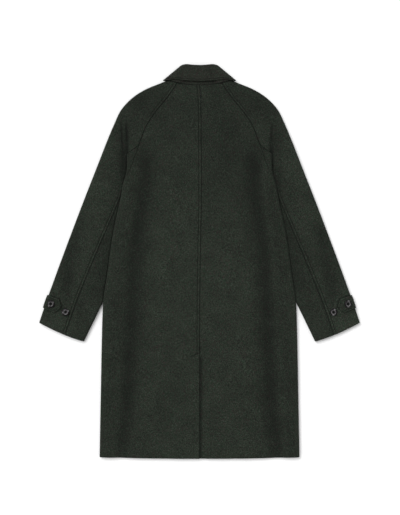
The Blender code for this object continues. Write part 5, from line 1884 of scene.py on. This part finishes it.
def horn_material():
    """Dark polished horn, with a painted highlight in marbled flecks on its raised ring."""
    made, tree, shader = new_material("dark polished horn")
    where = surface_coordinates(tree)
    marble = add_noise(tree, add_stretch(tree, where, 0.4, 0.4), 230.0, 4.0, 0.6)
    grain = add_noise(tree, add_stretch(tree, where, 0.4, 0.15), 1500.0, 2.0)
    # painted highlight on the button's raised ring, broken up by the marble noise
    highlight_share = add_math(tree, "MULTIPLY", add_mask(tree, "painted_highlight"), add_range(tree, marble, *HORN_HIGHLIGHT_MARBLE))
    colour = add_mix(tree, highlight_share, HORN_DARK, HORN_HIGHLIGHT)
    tree.links.new(colour, shader.inputs["Base Color"])
    tree.links.new(add_range(tree, grain, *HORN_ROUGHNESS), shader.inputs["Roughness"])
    add_bump(tree, grain, shader, 0.00003)
    shader.inputs["IOR"].default_value = 1.56
    shader.inputs["Specular IOR Level"].default_value = 0.10
    return made


def floor_material():
    """Pale plain studio floor with the faintest tooth."""
    made, tree, shader = new_material("pale studio floor")
    tooth = add_noise(tree, surface_coordinates(tree), 260.0, 2.0)
    colour = add_mix(tree, add_range(tree, tooth, 0.3, 0.7, 0.0, 1.0), FLOOR_WHITE, FLOOR_PALE)
    tree.links.new(colour, shader.inputs["Base Color"])
    shader.inputs["Roughness"].default_value = 0.9
    shader.inputs["Specular IOR Level"].default_value = 0.0
    return made


# Floor, light and camera

def make_floor():
    corners = [(-1, -1), (1, -1), (1, 1), (-1, 1)]
    data = bpy.data.meshes.new("studio_floor")
    points = [(FLOOR_HALF * x, FLOOR_HALF * y, -FLOOR_BELOW) for x, y in corners]
    data.from_pydata(points, [], [[0, 1, 2, 3]])
    floor = add_piece("studio_floor", data)
    data.materials.append(floor_material())


def make_soft_sun(name, comes_from, spread, strength):
    """A broad even light from far off."""
    data = bpy.data.lights.new(name, "SUN")
    data.angle = spread
    data.energy = strength
    light = bpy.data.objects.new(name, data)
    light.rotation_euler = Vector(comes_from).to_track_quat("Z", "Y").to_euler()
    bpy.context.scene.collection.objects.link(light)


def make_world(strength):
    world = bpy.data.worlds.new("studio_air")
    world.use_nodes = True
    world.node_tree.nodes["Background"].inputs["Color"].default_value = (1.0, 1.0, 1.0, 1.0)
    world.node_tree.nodes["Background"].inputs["Strength"].default_value = strength
    bpy.context.scene.world = world


def make_camera():
    data = bpy.data.cameras.new("camera")
    data.lens = LENS
    data.sensor_width = SENSOR
    camera = bpy.data.objects.new("camera", data)
    camera.location = (AIM[0], AIM[1], AIM[2] + FRAME_HIGH * LENS / SENSOR)
    bpy.context.scene.collection.objects.link(camera)
    bpy.context.scene.camera = camera


# Putting the coat together

Cut = namedtuple("Cut", "node width length area rests_on")
CUTS = [
    Cut("back", 0.286, 1.071, 0.260, ["front_left", "front_right"]),
    Cut("front", 0.330, 1.071, 0.297, []),
    Cut("sleeve_back", 0.205, 0.860, 0.069, ["sleeve_front"]),
    Cut("sleeve_front", 0.270, 0.860, 0.105, []),
    Cut("tab", 0.0385, 0.083, 0.0031, ["sleeve_back"]),
]


def dress(piece, node, cloth):
    """Give a piece its finish and its place on the coat."""
    piece.data.materials.clear()
    piece.data.materials.append(cloth)
    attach(piece, BODY)
    if node:
        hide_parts(node)


ButtonPlace = namedtuple("ButtonPlace", "node along across turned")


def sew_buttons(side, word, horn, thread):
    """The button on the tab and the one beside it, each with its sewing thread."""
    sleeve_along = SLEEVE_LENGTH - SLEEVE_BUTTON_FROM_CUFF
    for spot in (ButtonPlace("button_tab_", tab_along(TAB_BUTTON_IN), TAB_BUTTON_IN, 0.5),
                 ButtonPlace("button_sleeve_", sleeve_along, SLEEVE_BUTTON_IN, -0.35)):
        node = spot.node + word
        button, sewing = make_button(side, node, spot.along, spot.across, spot.turned * side)
        dress(button, node, horn)
        dress(sewing, None, thread)


def build_coat():
    melange, nap = melange_group(), nap_group()
    wool = wool_material("green melange wool", melange, nap, BODY_BARK, MOSS)
    collar_wool = wool_material("browner collar wool", melange, nap, COLLAR_BARK, COLLAR_MOSS)
    thread, horn = thread_material(), horn_material()
    makers = {"back": make_back, "front": make_front, "sleeve_back": make_sleeve_back,
              "sleeve_front": make_sleeve_front, "tab": make_tab}
    for side, word in ((-1, "left"), (1, "right")):
        for cut in CUTS:
            node = cut.node + "_" + word
            piece = makers[cut.node](side, "cloth_" + node)
            dress(piece, node, wool)
        sew_buttons(side, word, horn, thread)
        for stitches in make_all_stitches(side, word):
            dress(stitches, None, thread)
    leaf = make_collar_leaf("cloth_collar_leaf")
    dress(leaf, "collar_leaf", collar_wool)
    stand = make_collar_stand("cloth_collar_stand")
    dress(stand, "collar_stand", collar_wool)


TAB_FRAME = tab_frame()
build_coat()
make_floor()
make_world(AIR_LIGHT)
make_soft_sun("key", KEY_FROM, KEY_SPREAD, KEY_LIGHT)
make_camera()
bpy.context.scene.view_settings.view_transform = "Standard"
